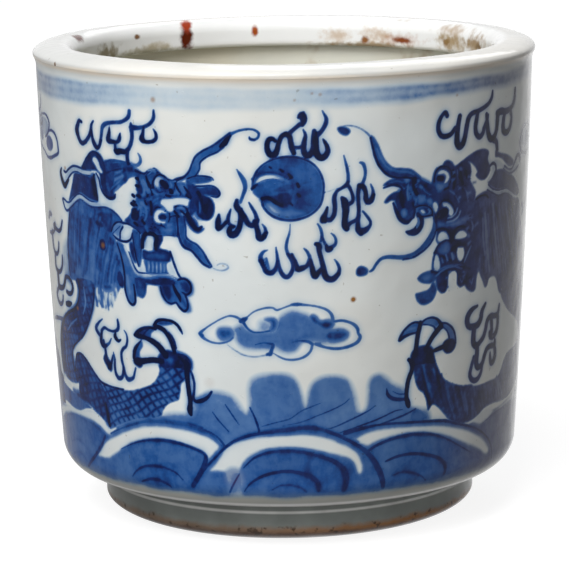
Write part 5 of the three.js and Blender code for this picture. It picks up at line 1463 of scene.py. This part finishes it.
def foot_section():
    """The foot ring: a wide rounded bevel outside, a flat contact ring and a bevelled bore."""
    bevel_radius = FOOT_RADIUS - FOOT_BEVEL_DEPTH
    inner = FOOT_BORE_RADIUS + FOOT_INNER_BEVEL
    bevel_semi = (FOOT_BEVEL_DEPTH, FOOT_BEVEL_HEIGHT)
    return np.vstack([
        straight((FOOT_BORE_RADIUS, UNDERSIDE), (FOOT_BORE_RADIUS, FOOT_INNER_BEVEL), 1.0),
        straight((FOOT_BORE_RADIUS, FOOT_INNER_BEVEL), (inner, 0), 0.7),
        straight((inner, 0), (bevel_radius, 0), 1.2),
        arc((bevel_radius, FOOT_BEVEL_HEIGHT), bevel_semi, -90, 0, 0.6),
        straight((FOOT_RADIUS, FOOT_BEVEL_HEIGHT), (FOOT_RADIUS, UNDERSIDE), 0.6),
        straight((FOOT_RADIUS, UNDERSIDE), (FOOT_BORE_RADIUS, UNDERSIDE), 3.0),
    ])


def turned(name, section, columns, wobble=None):
    """A mesh turned round Z from a section of (radius, height) points in mm, closed on itself
    or on the axis. The first column of points lies at the back, and the rest follow it round."""
    on_axis = section[0, 0] == 0
    rings = section[1:-1] if on_axis else section
    count = len(rings)
    bearing = -math.pi + 2 * math.pi * np.arange(columns) / columns
    radius = np.repeat(rings[:, :1], columns, 1)
    height = np.repeat(rings[:, 1:], columns, 1)
    if wobble is not None:
        radius, height = wobble(radius, height, bearing[None, :])
    points = np.stack([radius * np.sin(bearing), -radius * np.cos(bearing), height], 2)
    points = points.reshape(-1, 3)
    rows = np.arange(count if not on_axis else count - 1)
    above = (rows + 1) % count
    cols = np.arange(columns)
    beside = (cols + 1) % columns
    quads = np.stack([
        rows[:, None] * columns + cols,
        rows[:, None] * columns + beside,
        above[:, None] * columns + beside,
        above[:, None] * columns + cols,
    ], 2).reshape(-1, 4)
    corners = quads.ravel()
    sizes = np.full(len(quads), 4)
    if on_axis:
        low, high = len(points), len(points) + 1
        points = np.vstack([points, [(0, 0, section[0, 1]), (0, 0, section[-1, 1])]])
        last = (count - 1) * columns
        under = np.stack([beside, cols, np.full(columns, low)], 1)
        over = np.stack([last + cols, last + beside, np.full(columns, high)], 1)
        corners = np.concatenate([corners, under.ravel(), over.ravel()])
        sizes = np.concatenate([sizes, np.full(2 * columns, 3)])
    return piece_of(name, points, corners, sizes)


def piece_of(name, points, corners, sizes):
    """A smooth object from points in mm, the faces' corners in a row and the faces' sizes."""
    mesh = bpy.data.meshes.new(name)
    mesh.vertices.add(len(points))
    mesh.vertices.foreach_set("co", (points * MM).ravel())
    mesh.loops.add(len(corners))
    mesh.loops.foreach_set("vertex_index", corners)
    mesh.polygons.add(len(sizes))
    mesh.polygons.foreach_set("loop_start", np.concatenate([[0], np.cumsum(sizes)[:-1]]))
    mesh.update(calc_edges=True)
    mesh.shade_smooth()
    mesh.set_sharp_from_angle(angle=math.radians(SHARP_ANGLE))
    piece = bpy.data.objects.new(name, mesh)
    bpy.context.scene.collection.objects.link(piece)
    return piece


def wall_map(mesh, outside_rows, total_rows):
    """A texture map in four quarter-turn sheets for the outside, two by two, and one strip above
    them for the rest."""
    quarter = WALL_COLUMNS // 4
    faces = np.arange(total_rows * WALL_COLUMNS)
    row, col = faces // WALL_COLUMNS, faces % WALL_COLUMNS
    sheet = col // quarter
    painted = row < outside_rows - 1
    corners = []
    for right, up in ((0, 0), (1, 0), (1, 1), (0, 1)):
        u = MAP_SIDE + SHEET_WIDTH * (col % quarter + right) / quarter + SHEET_ACROSS * (sheet % 2)
        v = MAP_BASE + SHEET_HEIGHT * (row + up) / (outside_rows - 1) + SHEET_UP * (sheet // 2)
        rest = (row - outside_rows + 1 + up) / (total_rows - outside_rows + 1)
        strip_u = MAP_SIDE + STRIP_WIDTH * (col + right) / WALL_COLUMNS
        strip_v = STRIP_BASE + STRIP_HEIGHT * rest
        corners.append(np.stack([np.where(painted, u, strip_u), np.where(painted, v, strip_v)], 1))
    layer = mesh.uv_layers.new(name="OFBake")
    layer.data.foreach_set("uv", np.stack(corners, 1).ravel())


def store_paint(mesh, paint, outside_rows):
    """Keeps the painting on the wall's points: line cover, line tone, wash tone and rust. A cover
    of -1 marks the points of the inside."""
    size = WALL_COLUMNS * outside_rows
    colours = np.zeros((len(mesh.vertices), 4), np.float32)
    colours[size:, 0] = -1
    for channel, values in enumerate((paint.cover, paint.tone / 2, paint.wash / 2, paint.rust)):
        colours[:size, channel] = values.ravel()
    layer = mesh.attributes.new("paint", "FLOAT_COLOR", "POINT")
    layer.data.foreach_set("color", colours.ravel())


def make_wall():
    """The wall, with the painting on the points of its outside."""
    outside = wall_outside()
    section = np.vstack([outside, wall_inside()])
    piece = turned("pot_wall", section, WALL_COLUMNS)
    along = PAINT_RADIUS * (-math.pi + 2 * math.pi * np.arange(WALL_COLUMNS) / WALL_COLUMNS)
    paint = Paint(along, outside[:, 1])
    paint_all(paint)
    store_paint(piece.data, paint, len(outside))
    wall_map(piece.data, len(outside), len(section))
    return piece


def lip_wobble(radius, height, bearing):
    """The thrown lip dips by up to half a millimetre here and there, never past its section."""
    crown = TOP - LIP_SHOULDER_DEPTH
    share = np.clip((height - crown) / LIP_SHOULDER_DEPTH, 0, 1)
    dip = LIP_DIP * (2 + np.sin(2 * bearing + 0.7) + 0.6 * np.sin(5 * bearing + 2.1))
    return radius, height - share * dip


def make_lip():
    """The rolled lip with its skirt."""
    return turned("pot_lip", lip_section(), LIP_COLUMNS, lip_wobble)


def make_floor_slab():
    """The floor of the pot."""
    return turned("pot_floor", slab_section(), FOOT_COLUMNS)


def make_foot():
    """The ring that the pot stands on."""
    return turned("pot_foot", foot_section(), FOOT_COLUMNS)


# Colours
GLAZE = (0.70, 0.735, 0.73)
GLAZE_WARM = (0.705, 0.715, 0.685)
LIP_WHITE = (0.635, 0.64, 0.625)
LIP_WARM = (0.76, 0.74, 0.69)
# painted light: the lip's inner face is painted much lighter than its top
LIP_INNER_PAINTED_LIGHT = (0.86, 0.865, 0.86)
LIP_DEEP = (0.62, 0.58, 0.48)
INSIDE = (0.70, 0.70, 0.63)
INSIDE_WARM = (0.72, 0.68, 0.56)
FLOOR_WARM = (0.60, 0.56, 0.46)
EDGE_BEIGE = (0.84, 0.745, 0.62)
# the thin grey-green glaze under the turned edge, with painted shade in it
GREEN_GLAZE_AND_SHADE = (0.46, 0.46, 0.42)
# painted reflection: the pale line along the lowest edge of the turn
PAINTED_GLINT_WHITE = (0.90, 0.89, 0.87)
SPECK = (0.20, 0.15, 0.10)
RUST = (0.25, 0.105, 0.018)
STAIN = (0.36, 0.22, 0.10)
FOOT_GREY = (0.245, 0.265, 0.25)
# painted reflection: a pale line near the top of the foot
FOOT_PAINTED_GLINT = (0.80, 0.80, 0.78)
FOOT_BURNT = (0.24, 0.165, 0.115)
FOOT_ORANGE = (0.34, 0.145, 0.04)
FOOT_RIM = (0.13, 0.06, 0.036)
FOOT_PIT = (0.05, 0.03, 0.02)

# What cobalt of a growing density lets through, and a greyer copy that is painted reflection: the
# dull veil the glaze mirrors on the pot's two sides
COBALT = (
    (0.0, (1.0, 1.0, 1.0)),
    (0.12, (0.62, 0.74, 0.88)),
    (0.28, (0.11, 0.24, 0.54)),
    (0.40, (0.055, 0.165, 0.46)),
    (0.52, (0.012, 0.10, 0.38)),
    (0.68, (0.003, 0.028, 0.18)),
    (0.82, (0.001, 0.012, 0.10)),
    (1.0, (0.0, 0.005, 0.042)),
)
COBALT_PAINTED_REFLECTION = (
    (0.0, (1.0, 1.0, 1.0)),
    (0.16, (0.60, 0.64, 0.76)),
    (0.32, (0.22, 0.26, 0.42)),
    (0.50, (0.10, 0.12, 0.31)),
    (0.70, (0.046, 0.053, 0.175)),
    (1.0, (0.013, 0.018, 0.05)),
)
COBALT_FULL = 1.25

# The height in metres at which the painting ends above the turned edge
PAINT_END = 0.0202

# Stains and chips of the lip: place and size in mm, raggedness, share and colour
LIP_BLOTS = (
    ((30.0, 64.0, 149.8), (17.0, 9.0, 1.1), 2.6, 0.8, (0.30, 0.19, 0.07)),
    ((-48.0, 51.0, 150.4), (12.0, 9.0, 1.3), 2.8, 0.7, (0.33, 0.28, 0.15)),
    ((-62.0, 33.7, 151.6), (5.0, 8.0, 2.4), 2.4, 0.9, (0.22, 0.17, 0.08)),
    ((-45.0, 54.3, 151.8), (6.0, 6.0, 1.1), 2.4, 0.5, (0.45, 0.37, 0.24)),
    ((18.9, 68.0, 153.0), (5.0, 4.0, 2.0), 2.6, 0.7, (0.52, 0.36, 0.22)),
    ((33.7, 62.0, 153.8), (4.0, 5.0, 2.2), 3.0, 0.65, (0.50, 0.32, 0.17)),
    ((42.0, 56.8, 152.4), (6.0, 6.0, 1.7), 3.0, 0.6, (0.40, 0.18, 0.08)),
    ((58.9, 39.0, 153.6), (5.0, 8.0, 2.8), 3.0, 0.85, (0.34, 0.22, 0.08)),
    ((66.6, 23.6, 153.8), (4.0, 8.0, 2.8), 3.0, 0.9, (0.32, 0.20, 0.08)),
    ((-34.8, 61.4, 153.4), (2.3, 4.0, 4.4), 1.4, 1.0, (0.10, 0.014, 0.004)),
    ((-35.0, 63.7, 158.0), (2.0, 4.0, 2.4), 1.2, 1.0, (0.34, 0.035, 0.006)),
    ((-10.4, 69.9, 155.0), (1.2, 4.0, 2.1), 1.2, 1.0, (0.34, 0.07, 0.012)),
    ((-70.4, 17.4, 158.7), (2.4, 3.4, 1.4), 2.0, 1.0, (0.12, 0.03, 0.02)),
    ((-52.0, 47.8, 155.6), (0.9, 3.0, 0.9), 1.6, 1.0, (0.20, 0.10, 0.04)),
    ((29.3, 64.2, 151.6), (1.3, 4.0, 1.2), 1.8, 1.0, (0.26, 0.11, 0.04)),
    ((42.4, 56.6, 152.2), (3.0, 4.0, 0.9), 2.0, 1.0, (0.22, 0.06, 0.02)),
    ((57.0, 41.6, 153.0), (1.6, 2.4, 1.3), 2.0, 0.9, (0.26, 0.15, 0.05)),
    ((67.4, 21.0, 153.2), (1.6, 3.0, 1.3), 2.0, 0.9, (0.20, 0.12, 0.05)),
    ((-74.3, -40.3, 156.5), (0.7, 0.7, 0.7), 1.1, 0.9, (0.16, 0.09, 0.04)),
    ((82.9, -16.6, 156.0), (1.4, 1.6, 0.9), 1.1, 0.95, (0.05, 0.045, 0.045)),
)


class Nodes:
    """Short calls that add nodes to one material's tree. Places and heights are in metres."""

    def __init__(self, name):
        self.material = bpy.data.materials.new(name)
        self.material.use_nodes = True
        self.tree = self.material.node_tree
        self.shader = self.tree.nodes["Principled BSDF"]

    def add(self, kind, **settings):
        """A new node with these settings."""
        node = self.tree.nodes.new("ShaderNode" + kind)
        for key, value in settings.items():
            setattr(node, key, value)
        return node

    def feed(self, socket, value):
        """Links an output, or sets a number or colour, on a socket."""
        if isinstance(value, bpy.types.NodeSocket):
            self.tree.links.new(value, socket)
        elif isinstance(value, (tuple, list)) and len(value) == 3 and socket.type == "RGBA":
            socket.default_value = (*value, 1.0)
        else:
            socket.default_value = value

    def math(self, operation, *values, clamp=False):
        """One sum of the named kind."""
        node = self.add("Math", operation=operation, use_clamp=clamp)
        for socket, value in zip(node.inputs, values):
            self.feed(socket, value)
        return node.outputs[0]

    def plus(self, first, second):
        """The sum of two values."""
        return self.math("ADD", first, second)

    def times(self, first, *others):
        """The product of all the values."""
        for other in others:
            first = self.math("MULTIPLY", first, other)
        return first

    def centred(self, value, middle, amount):
        """How far a value lies from a middle, times an amount."""
        return self.times(self.math("SUBTRACT", value, middle), amount)

    def distance(self, x, y):
        """The length of a flat step."""
        return self.math("SQRT", self.plus(self.times(x, x), self.times(y, y)))

    def mix(self, share, first, second, blend="MIX"):
        """A share of the second colour laid over the first; sockets 6 and 7 are the colours."""
        node = self.add("Mix", data_type="RGBA", blend_type=blend)
        self.feed(node.inputs[0], share)
        self.feed(node.inputs[6], first)
        self.feed(node.inputs[7], second)
        return node.outputs[2]

    def map(self, value, low, high, to_low=0.0, to_high=1.0):
        """A smooth step from to_low to to_high where the value goes from low to high."""
        node = self.add("MapRange", interpolation_type="SMOOTHSTEP")
        for socket, number in zip(node.inputs, (value, low, high, to_low, to_high)):
            self.feed(socket, number)
        return node.outputs[0]

    def noise(self, scale, detail=2.0, rough=0.5, vector=None):
        """Noise in object space; scale is in features per metre."""
        node = self.add("TexNoise")
        self.feed(node.inputs["Vector"], vector or self.position())
        for key, value in (("Scale", scale), ("Detail", detail), ("Roughness", rough)):
            node.inputs[key].default_value = value
        return node.outputs["Fac"]

    def position(self):
        """The place on the object, in metres."""
        return self.add("TexCoord").outputs["Object"]

    def stretched(self, x, y, z):
        """The place with its axes scaled."""
        node = self.add("Mapping")
        self.feed(node.inputs["Vector"], self.position())
        node.inputs["Scale"].default_value = (x, y, z)
        return node.outputs[0]

    def axes(self):
        """The place's x, y and height."""
        node = self.add("SeparateXYZ")
        self.feed(node.inputs[0], self.position())
        return node.outputs

    def ramp(self, value, stops):
        """A colour for each value, from (place, colour) stops."""
        node = self.add("ValToRGB")
        self.feed(node.inputs[0], value)
        keys = node.color_ramp.elements
        while len(keys) < len(stops):
            keys.new(0.5)
        for key, (place, colour) in zip(keys, stops):
            key.position = place
            key.color = (*colour, 1.0)
        return node.outputs[0]

    def spot(self, place, size, ragged):
        """1 inside an uneven blot round a place, both in mm, and 0 outside it."""
        node = self.add("Mapping")
        self.feed(node.inputs["Vector"], self.position())
        node.inputs["Scale"].default_value = [1 / (MM * across) for across in size]
        node.inputs["Location"].default_value = [-at / across for at, across in zip(place, size)]
        away = self.add("VectorMath", operation="LENGTH")
        self.feed(away.inputs[0], node.outputs[0])
        uneven = self.centred(self.noise(330, 3.0), 0.5, ragged)
        edge = 0.15 + 0.22 * ragged
        return self.map(self.plus(away.outputs["Value"], uneven), 1.0 + edge, 1.0 - edge)

    def grey(self, value):
        """A grey of this level."""
        node = self.add("CombineColor")
        for socket in node.inputs[:3]:
            self.feed(socket, value)
        return node.outputs[0]

    def bump(self, height, depth, below=None):
        """Bumps of a depth in metres, over those below."""
        node = self.add("Bump")
        node.inputs["Distance"].default_value = depth
        self.feed(node.inputs["Height"], height)
        if below is not None:
            self.feed(node.inputs["Normal"], below)
        return node.outputs[0]

    def finish(self, colour, roughness):
        """Gives the material its colour, shine, faint ripple and pits, and returns it."""
        inputs = self.shader.inputs
        self.feed(inputs["Base Color"], colour)
        inputs["Roughness"].default_value = roughness
        inputs["IOR"].default_value = 1.5
        inputs["Specular IOR Level"].default_value = 0.16
        ripple = self.bump(self.noise(55, 2.0), 0.0006)
        pits = self.bump(self.map(self.noise(900, 1.0), 0.72, 0.80), 0.00006, ripple)
        self.feed(inputs["Normal"], pits)
        return self.material


def glaze_tint(n, clean, warm):
    """The glaze's own colour: slow warm clouds in it and a few dark specks."""
    clouds = n.map(n.noise(14, 3.0), 0.42, 0.68)
    body = n.mix(clouds, clean, warm)
    shade = n.map(n.noise(38, 3.0), 0.3, 0.7, 0.965, 1.025)
    body = n.mix(1.0, body, n.grey(shade), "MULTIPLY")
    specks = n.map(n.noise(700, 0.0), 0.82, 0.87)
    return n.mix(n.times(specks, 0.4), body, SPECK)


def stained(n, body, low, high, amount):
    """Brown tea-like stains in patches, between two heights in metres on the inside."""
    height = n.axes()[2]
    patches = n.map(n.noise(42, 4.0, 0.65, n.stretched(1, 1, 0.8)), 0.52, 0.72)
    rising = n.map(height, low, low + 0.003)
    falling = n.map(height, high, high - 0.003)
    return n.mix(n.times(patches, amount, n.times(rising, falling)), body, STAIN)


def cobalt_density(n, height, cover, tone, wash):
    """How dense the cobalt is: the lines with slightly ragged edges, the washes streaked by the
    brush and pooled, and a little more where both lie on each other."""
    ragged = n.centred(n.noise(700, 2.0), 0.5, 0.22)
    edge = n.map(n.plus(cover, ragged), 0.12, 1.0)
    strength = n.times(n.math("POWER", n.times(tone, 2.0), 1.5), 1.2)
    line = n.times(strength, edge)
    streaks = n.map(n.noise(120, 4.0, 0.62, n.stretched(1, 1, 0.45)), 0.28, 0.74, 0.86, 1.15)
    calm = n.map(height, 0.142, 0.146, 1.0, 0.2)
    streaks = n.plus(n.centred(streaks, 1.0, calm), 1.0)
    pools = n.map(n.noise(45, 2.0), 0.3, 0.7, 0.92, 1.1)
    wet = n.times(wash, 2.0, n.times(streaks, pools))
    density = n.plus(n.math("MAXIMUM", line, wet), n.times(line, wet, 0.14))
    heaped = n.map(n.noise(260, 3.0, 0.6), 0.35, 0.70, 0.90, 1.12)
    return n.times(density, heaped)


def painted_glaze():
    """Cobalt drawn on the body under the glaze, from the painting kept on the wall's points."""
    n = Nodes("painted_glaze")
    stored = n.add("Attribute", attribute_name="paint")
    parts = n.add("SeparateColor")
    n.feed(parts.inputs[0], stored.outputs["Color"])
    cover, tone, wash = parts.outputs
    x, _, height = n.axes()
    low = n.plus(height, n.centred(n.noise(90, 2.0), 0.5, 0.0016))
    density = cobalt_density(n, height, cover, tone, wash)
    density = n.times(density, n.map(low, PAINT_END - 0.0018, PAINT_END + 0.0018))
    density = n.math("DIVIDE", density, COBALT_FULL, clamp=True)
    # painted reflection: the cobalt turns greyer towards the right side and the far left side of the
    # pot
    painted_reflection = n.math("MAXIMUM", n.map(x, 0.044, 0.070), n.map(x, -0.070, -0.079, 0.0, 0.75))
    cobalt = n.mix(painted_reflection, n.ramp(density, COBALT), n.ramp(density, COBALT_PAINTED_REFLECTION))
    # under the turned edge the glaze is thin and grey-green with painted shade, a painted reflection
    # runs along its lowest line, and it is beige at the seam
    glaze = n.mix(n.map(low, 0.0222, 0.0188), glaze_tint(n, GLAZE, GLAZE_WARM), GREEN_GLAZE_AND_SHADE)
    # painted reflection along the lowest line of the turned edge
    glaze = n.mix(n.map(height, 0.0178, 0.0168), glaze, PAINTED_GLINT_WHITE)
    glaze = n.mix(n.map(height, 0.1540, 0.1557), glaze, EDGE_BEIGE)
    colour = n.mix(1.0, glaze, cobalt, "MULTIPLY")
    colour = n.mix(stored.outputs["Alpha"], colour, RUST)
    inside = stained(n, glaze_tint(n, INSIDE, INSIDE_WARM), 0.120, 0.155, 0.85)
    colour = n.mix(n.map(cover, -0.5, -0.9), colour, inside)
    return n.finish(colour, 0.12)


def lip_glaze():
    """A glaze whose inner face is painted whiter as painted light, thin and beige at the outer edge,
    stained and chipped in places inside.
    """
    n = Nodes("lip_glaze")
    x, y, height = n.axes()
    radius = n.distance(x, y)
    inner = n.map(radius, 0.0762, 0.0735)
    # painted light: the inner face is painted much lighter than the lip's top
    body = n.mix(inner, glaze_tint(n, LIP_WHITE, LIP_WARM), LIP_INNER_PAINTED_LIGHT)
    thin = n.times(n.map(height, 0.1572, 0.1560), n.map(radius, 0.0815, 0.0835))
    thin = n.times(thin, n.map(n.noise(60, 3.0), 0.3, 0.65, 0.35, 0.95))
    body = n.mix(thin, body, EDGE_BEIGE)
    worn = n.times(inner, n.map(n.noise(40, 4.0, 0.65), 0.58, 0.70))
    right = n.map(n.plus(x, n.times(y, 0.3)), 0.025, 0.05)
    body = n.mix(n.times(worn, right, 0.6), body, STAIN)
    deep = n.map(height, 0.1520, 0.1495)
    body = n.mix(n.times(deep, n.times(inner, 0.3)), body, LIP_DEEP)
    for place, size, ragged, share, colour in LIP_BLOTS:
        body = n.mix(n.times(n.spot(place, size, ragged), share), body, colour)
    return n.finish(body, 0.12)


def plain_glaze():
    """The duller glaze of the floor."""
    n = Nodes("plain_glaze")
    return n.finish(glaze_tint(n, INSIDE, FLOOR_WARM), 0.2)


def foot_glaze():
    """Grey-green glaze with a painted reflection in a pale line near its top, burnt brown where it
    meets the floor, with painted shade on its left side and painted light on its right.
    """
    n = Nodes("foot_glaze")
    x, _, height = n.axes()
    level = n.plus(height, n.centred(n.noise(150, 4.0, 0.6), 0.5, 0.0032))
    burnt = n.mix(n.map(x, -0.03, 0.05), FOOT_BURNT, FOOT_ORANGE)
    body = n.mix(n.map(level, 0.0074, 0.0050), FOOT_GREY, burnt)
    body = n.mix(n.map(level, 0.0050, 0.0032), body, FOOT_RIM)
    pits = n.times(n.map(n.noise(380, 3.0), 0.56, 0.66), n.map(level, 0.0072, 0.0056))
    body = n.mix(n.times(pits, 0.8), body, FOOT_PIT)
    # painted reflection in a pale line near the top of the foot
    glint_line = n.times(n.map(height, 0.0106, 0.0112), n.map(height, 0.0121, 0.0115))
    body = n.mix(n.times(glint_line, 0.9), body, FOOT_PAINTED_GLINT)
    cloud = n.map(n.noise(70, 3.0), 0.3, 0.7, 0.86, 1.12)
    body = n.mix(1.0, body, n.grey(cloud), "MULTIPLY")
    # painted shade on the left of the foot and painted light on its right
    body = n.mix(1.0, body, n.grey(n.map(x, -0.06, 0.05, 0.74, 1.34)), "MULTIPLY")
    return n.finish(body, 0.2)


# The camera, in metres and degrees
CAMERA_DISTANCE = 1.0
CAMERA_HEIGHT = 0.267
CAMERA_PITCH = 10.88
CAMERA_YAW = 0.04
CAMERA_ROLL = -0.78
CAMERA_LENS = 187.58
SENSOR_WIDTH = 36.0

# The studio
FLOOR_SIZE = 3.0
FLOOR_BASE = 0.25
FLOOR_GLOW = 0.89
FLOOR_MIRRORED = 0.7
FLOOR_MIRRORED_LEFT = 0.42
WORLD_FILL = 0.025
LAMP_SIZE = 0.7

# The lamps: place, the height of the aim above the middle of the pot's foot, and watts
LAMPS = {
    "key": ((-0.286, -0.786, 1.076), 0.08, 16.5),
    "side": ((-0.666, -1.153, 0.513), 0.08, 5.6),
    "back": ((0.22, 1.05, 0.95), 0.08, 3.2),
    "top": ((0.08, -0.04, 1.28), 0.15, 1.3),
}


def pale_floor():
    """A plain white floor that keeps the pot's shadow, whiter away from the pot. What the glaze
    mirrors of it is white behind the pot and darker beside it, the most on the left."""
    mesh = bpy.data.meshes.new("floor")
    ring = [(x * FLOOR_SIZE, y * FLOOR_SIZE, 0) for x, y in ((-1, -1), (1, -1), (1, 1), (-1, 1))]
    mesh.from_pydata(ring, [], [(0, 1, 2, 3)])
    floor = bpy.data.objects.new("floor", mesh)
    bpy.context.scene.collection.objects.link(floor)
    n = Nodes("floor_white")
    n.shader.inputs["Base Color"].default_value = (FLOOR_BASE, FLOOR_BASE, FLOOR_BASE, 1.0)
    n.shader.inputs["Roughness"].default_value = 1.0
    n.shader.inputs["Specular IOR Level"].default_value = 0.0
    n.shader.inputs["Emission Color"].default_value = (1.0, 1.0, 1.0, 1.0)
    ray = n.add("LightPath").outputs
    x, y, _ = n.axes()
    seen = n.times(ray["Is Camera Ray"], n.map(n.distance(x, y), 0.09, 0.30, FLOOR_GLOW, 1.0))
    mirrored = n.math("MAXIMUM", ray["Is Glossy Ray"], ray["Is Transmission Ray"])
    beside = n.math("SUBTRACT", n.math("ABSOLUTE", x), n.times(y, 0.7))
    mirrored = n.times(mirrored, n.map(beside, 0.0, 0.12, 1.0, FLOOR_MIRRORED))
    mirrored = n.times(mirrored, n.map(x, -0.06, 0.0, FLOOR_MIRRORED_LEFT, 1.0))
    n.feed(n.shader.inputs["Emission Strength"], n.plus(seen, mirrored))
    mesh.materials.append(n.material)


def white_world():
    """White where it is seen or mirrored, and a dim even fill as light."""
    world = bpy.data.worlds.new("studio")
    bpy.context.scene.world = world
    world.use_nodes = True
    tree = world.node_tree
    back = tree.nodes["Background"]
    back.inputs["Color"].default_value = (1.0, 1.0, 1.0, 1.0)
    ray = tree.nodes.new("ShaderNodeLightPath").outputs
    seen = ray["Is Camera Ray"]
    for kind in ("Is Glossy Ray", "Is Transmission Ray"):
        either = tree.nodes.new("ShaderNodeMath")
        either.operation = "MAXIMUM"
        tree.links.new(seen, either.inputs[0])
        tree.links.new(ray[kind], either.inputs[1])
        seen = either.outputs[0]
    strength = tree.nodes.new("ShaderNodeMapRange")
    strength.inputs["To Min"].default_value = WORLD_FILL
    strength.inputs["To Max"].default_value = 1.0
    tree.links.new(seen, strength.inputs["Value"])
    tree.links.new(strength.outputs["Result"], back.inputs["Strength"])


def soft_light(name, place, aim_height, watts):
    """A square lamp that looks at a height on the pot's axis."""
    light = bpy.data.lights.new(name, "AREA")
    light.shape = "SQUARE"
    light.size = LAMP_SIZE
    light.energy = watts
    lamp = bpy.data.objects.new(name, light)
    lamp.location = place
    aim = Vector((0, 0, aim_height)) - Vector(place)
    lamp.rotation_euler = aim.to_track_quat("-Z", "Y").to_euler()
    bpy.context.scene.collection.objects.link(lamp)


def camera():
    """The camera, at the photo's angle."""
    data = bpy.data.cameras.new("camera")
    data.sensor_width = SENSOR_WIDTH
    data.lens = CAMERA_LENS
    view = bpy.data.objects.new("camera", data)
    place = Matrix.Translation((0, -CAMERA_DISTANCE, CAMERA_HEIGHT))
    yaw = Matrix.Rotation(math.radians(CAMERA_YAW), 4, "Z")
    pitch = Matrix.Rotation(math.radians(90 - CAMERA_PITCH), 4, "X")
    roll = Matrix.Rotation(math.radians(CAMERA_ROLL), 4, "Z")
    view.matrix_world = place @ yaw @ pitch @ roll
    bpy.context.scene.collection.objects.link(view)
    bpy.context.scene.camera = view


PIECES = (
    (make_wall, "body_wall", "painted_glaze", painted_glaze),
    (make_lip, "rim_lip", "lip_glaze", lip_glaze),
    (make_floor_slab, "base_slab", "plain_glaze", plain_glaze),
    (make_foot, "foot_ring", "foot_glaze", foot_glaze),
)
for make, node, slot, material in PIECES:
    piece = make()
    piece.data.materials.append(material())
    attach(piece, "root")
    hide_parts(node)

camera()
pale_floor()
white_world()
for name, (place, aim_height, watts) in LAMPS.items():
    soft_light(name, place, aim_height, watts)
bpy.context.scene.view_settings.view_transform = "Standard"
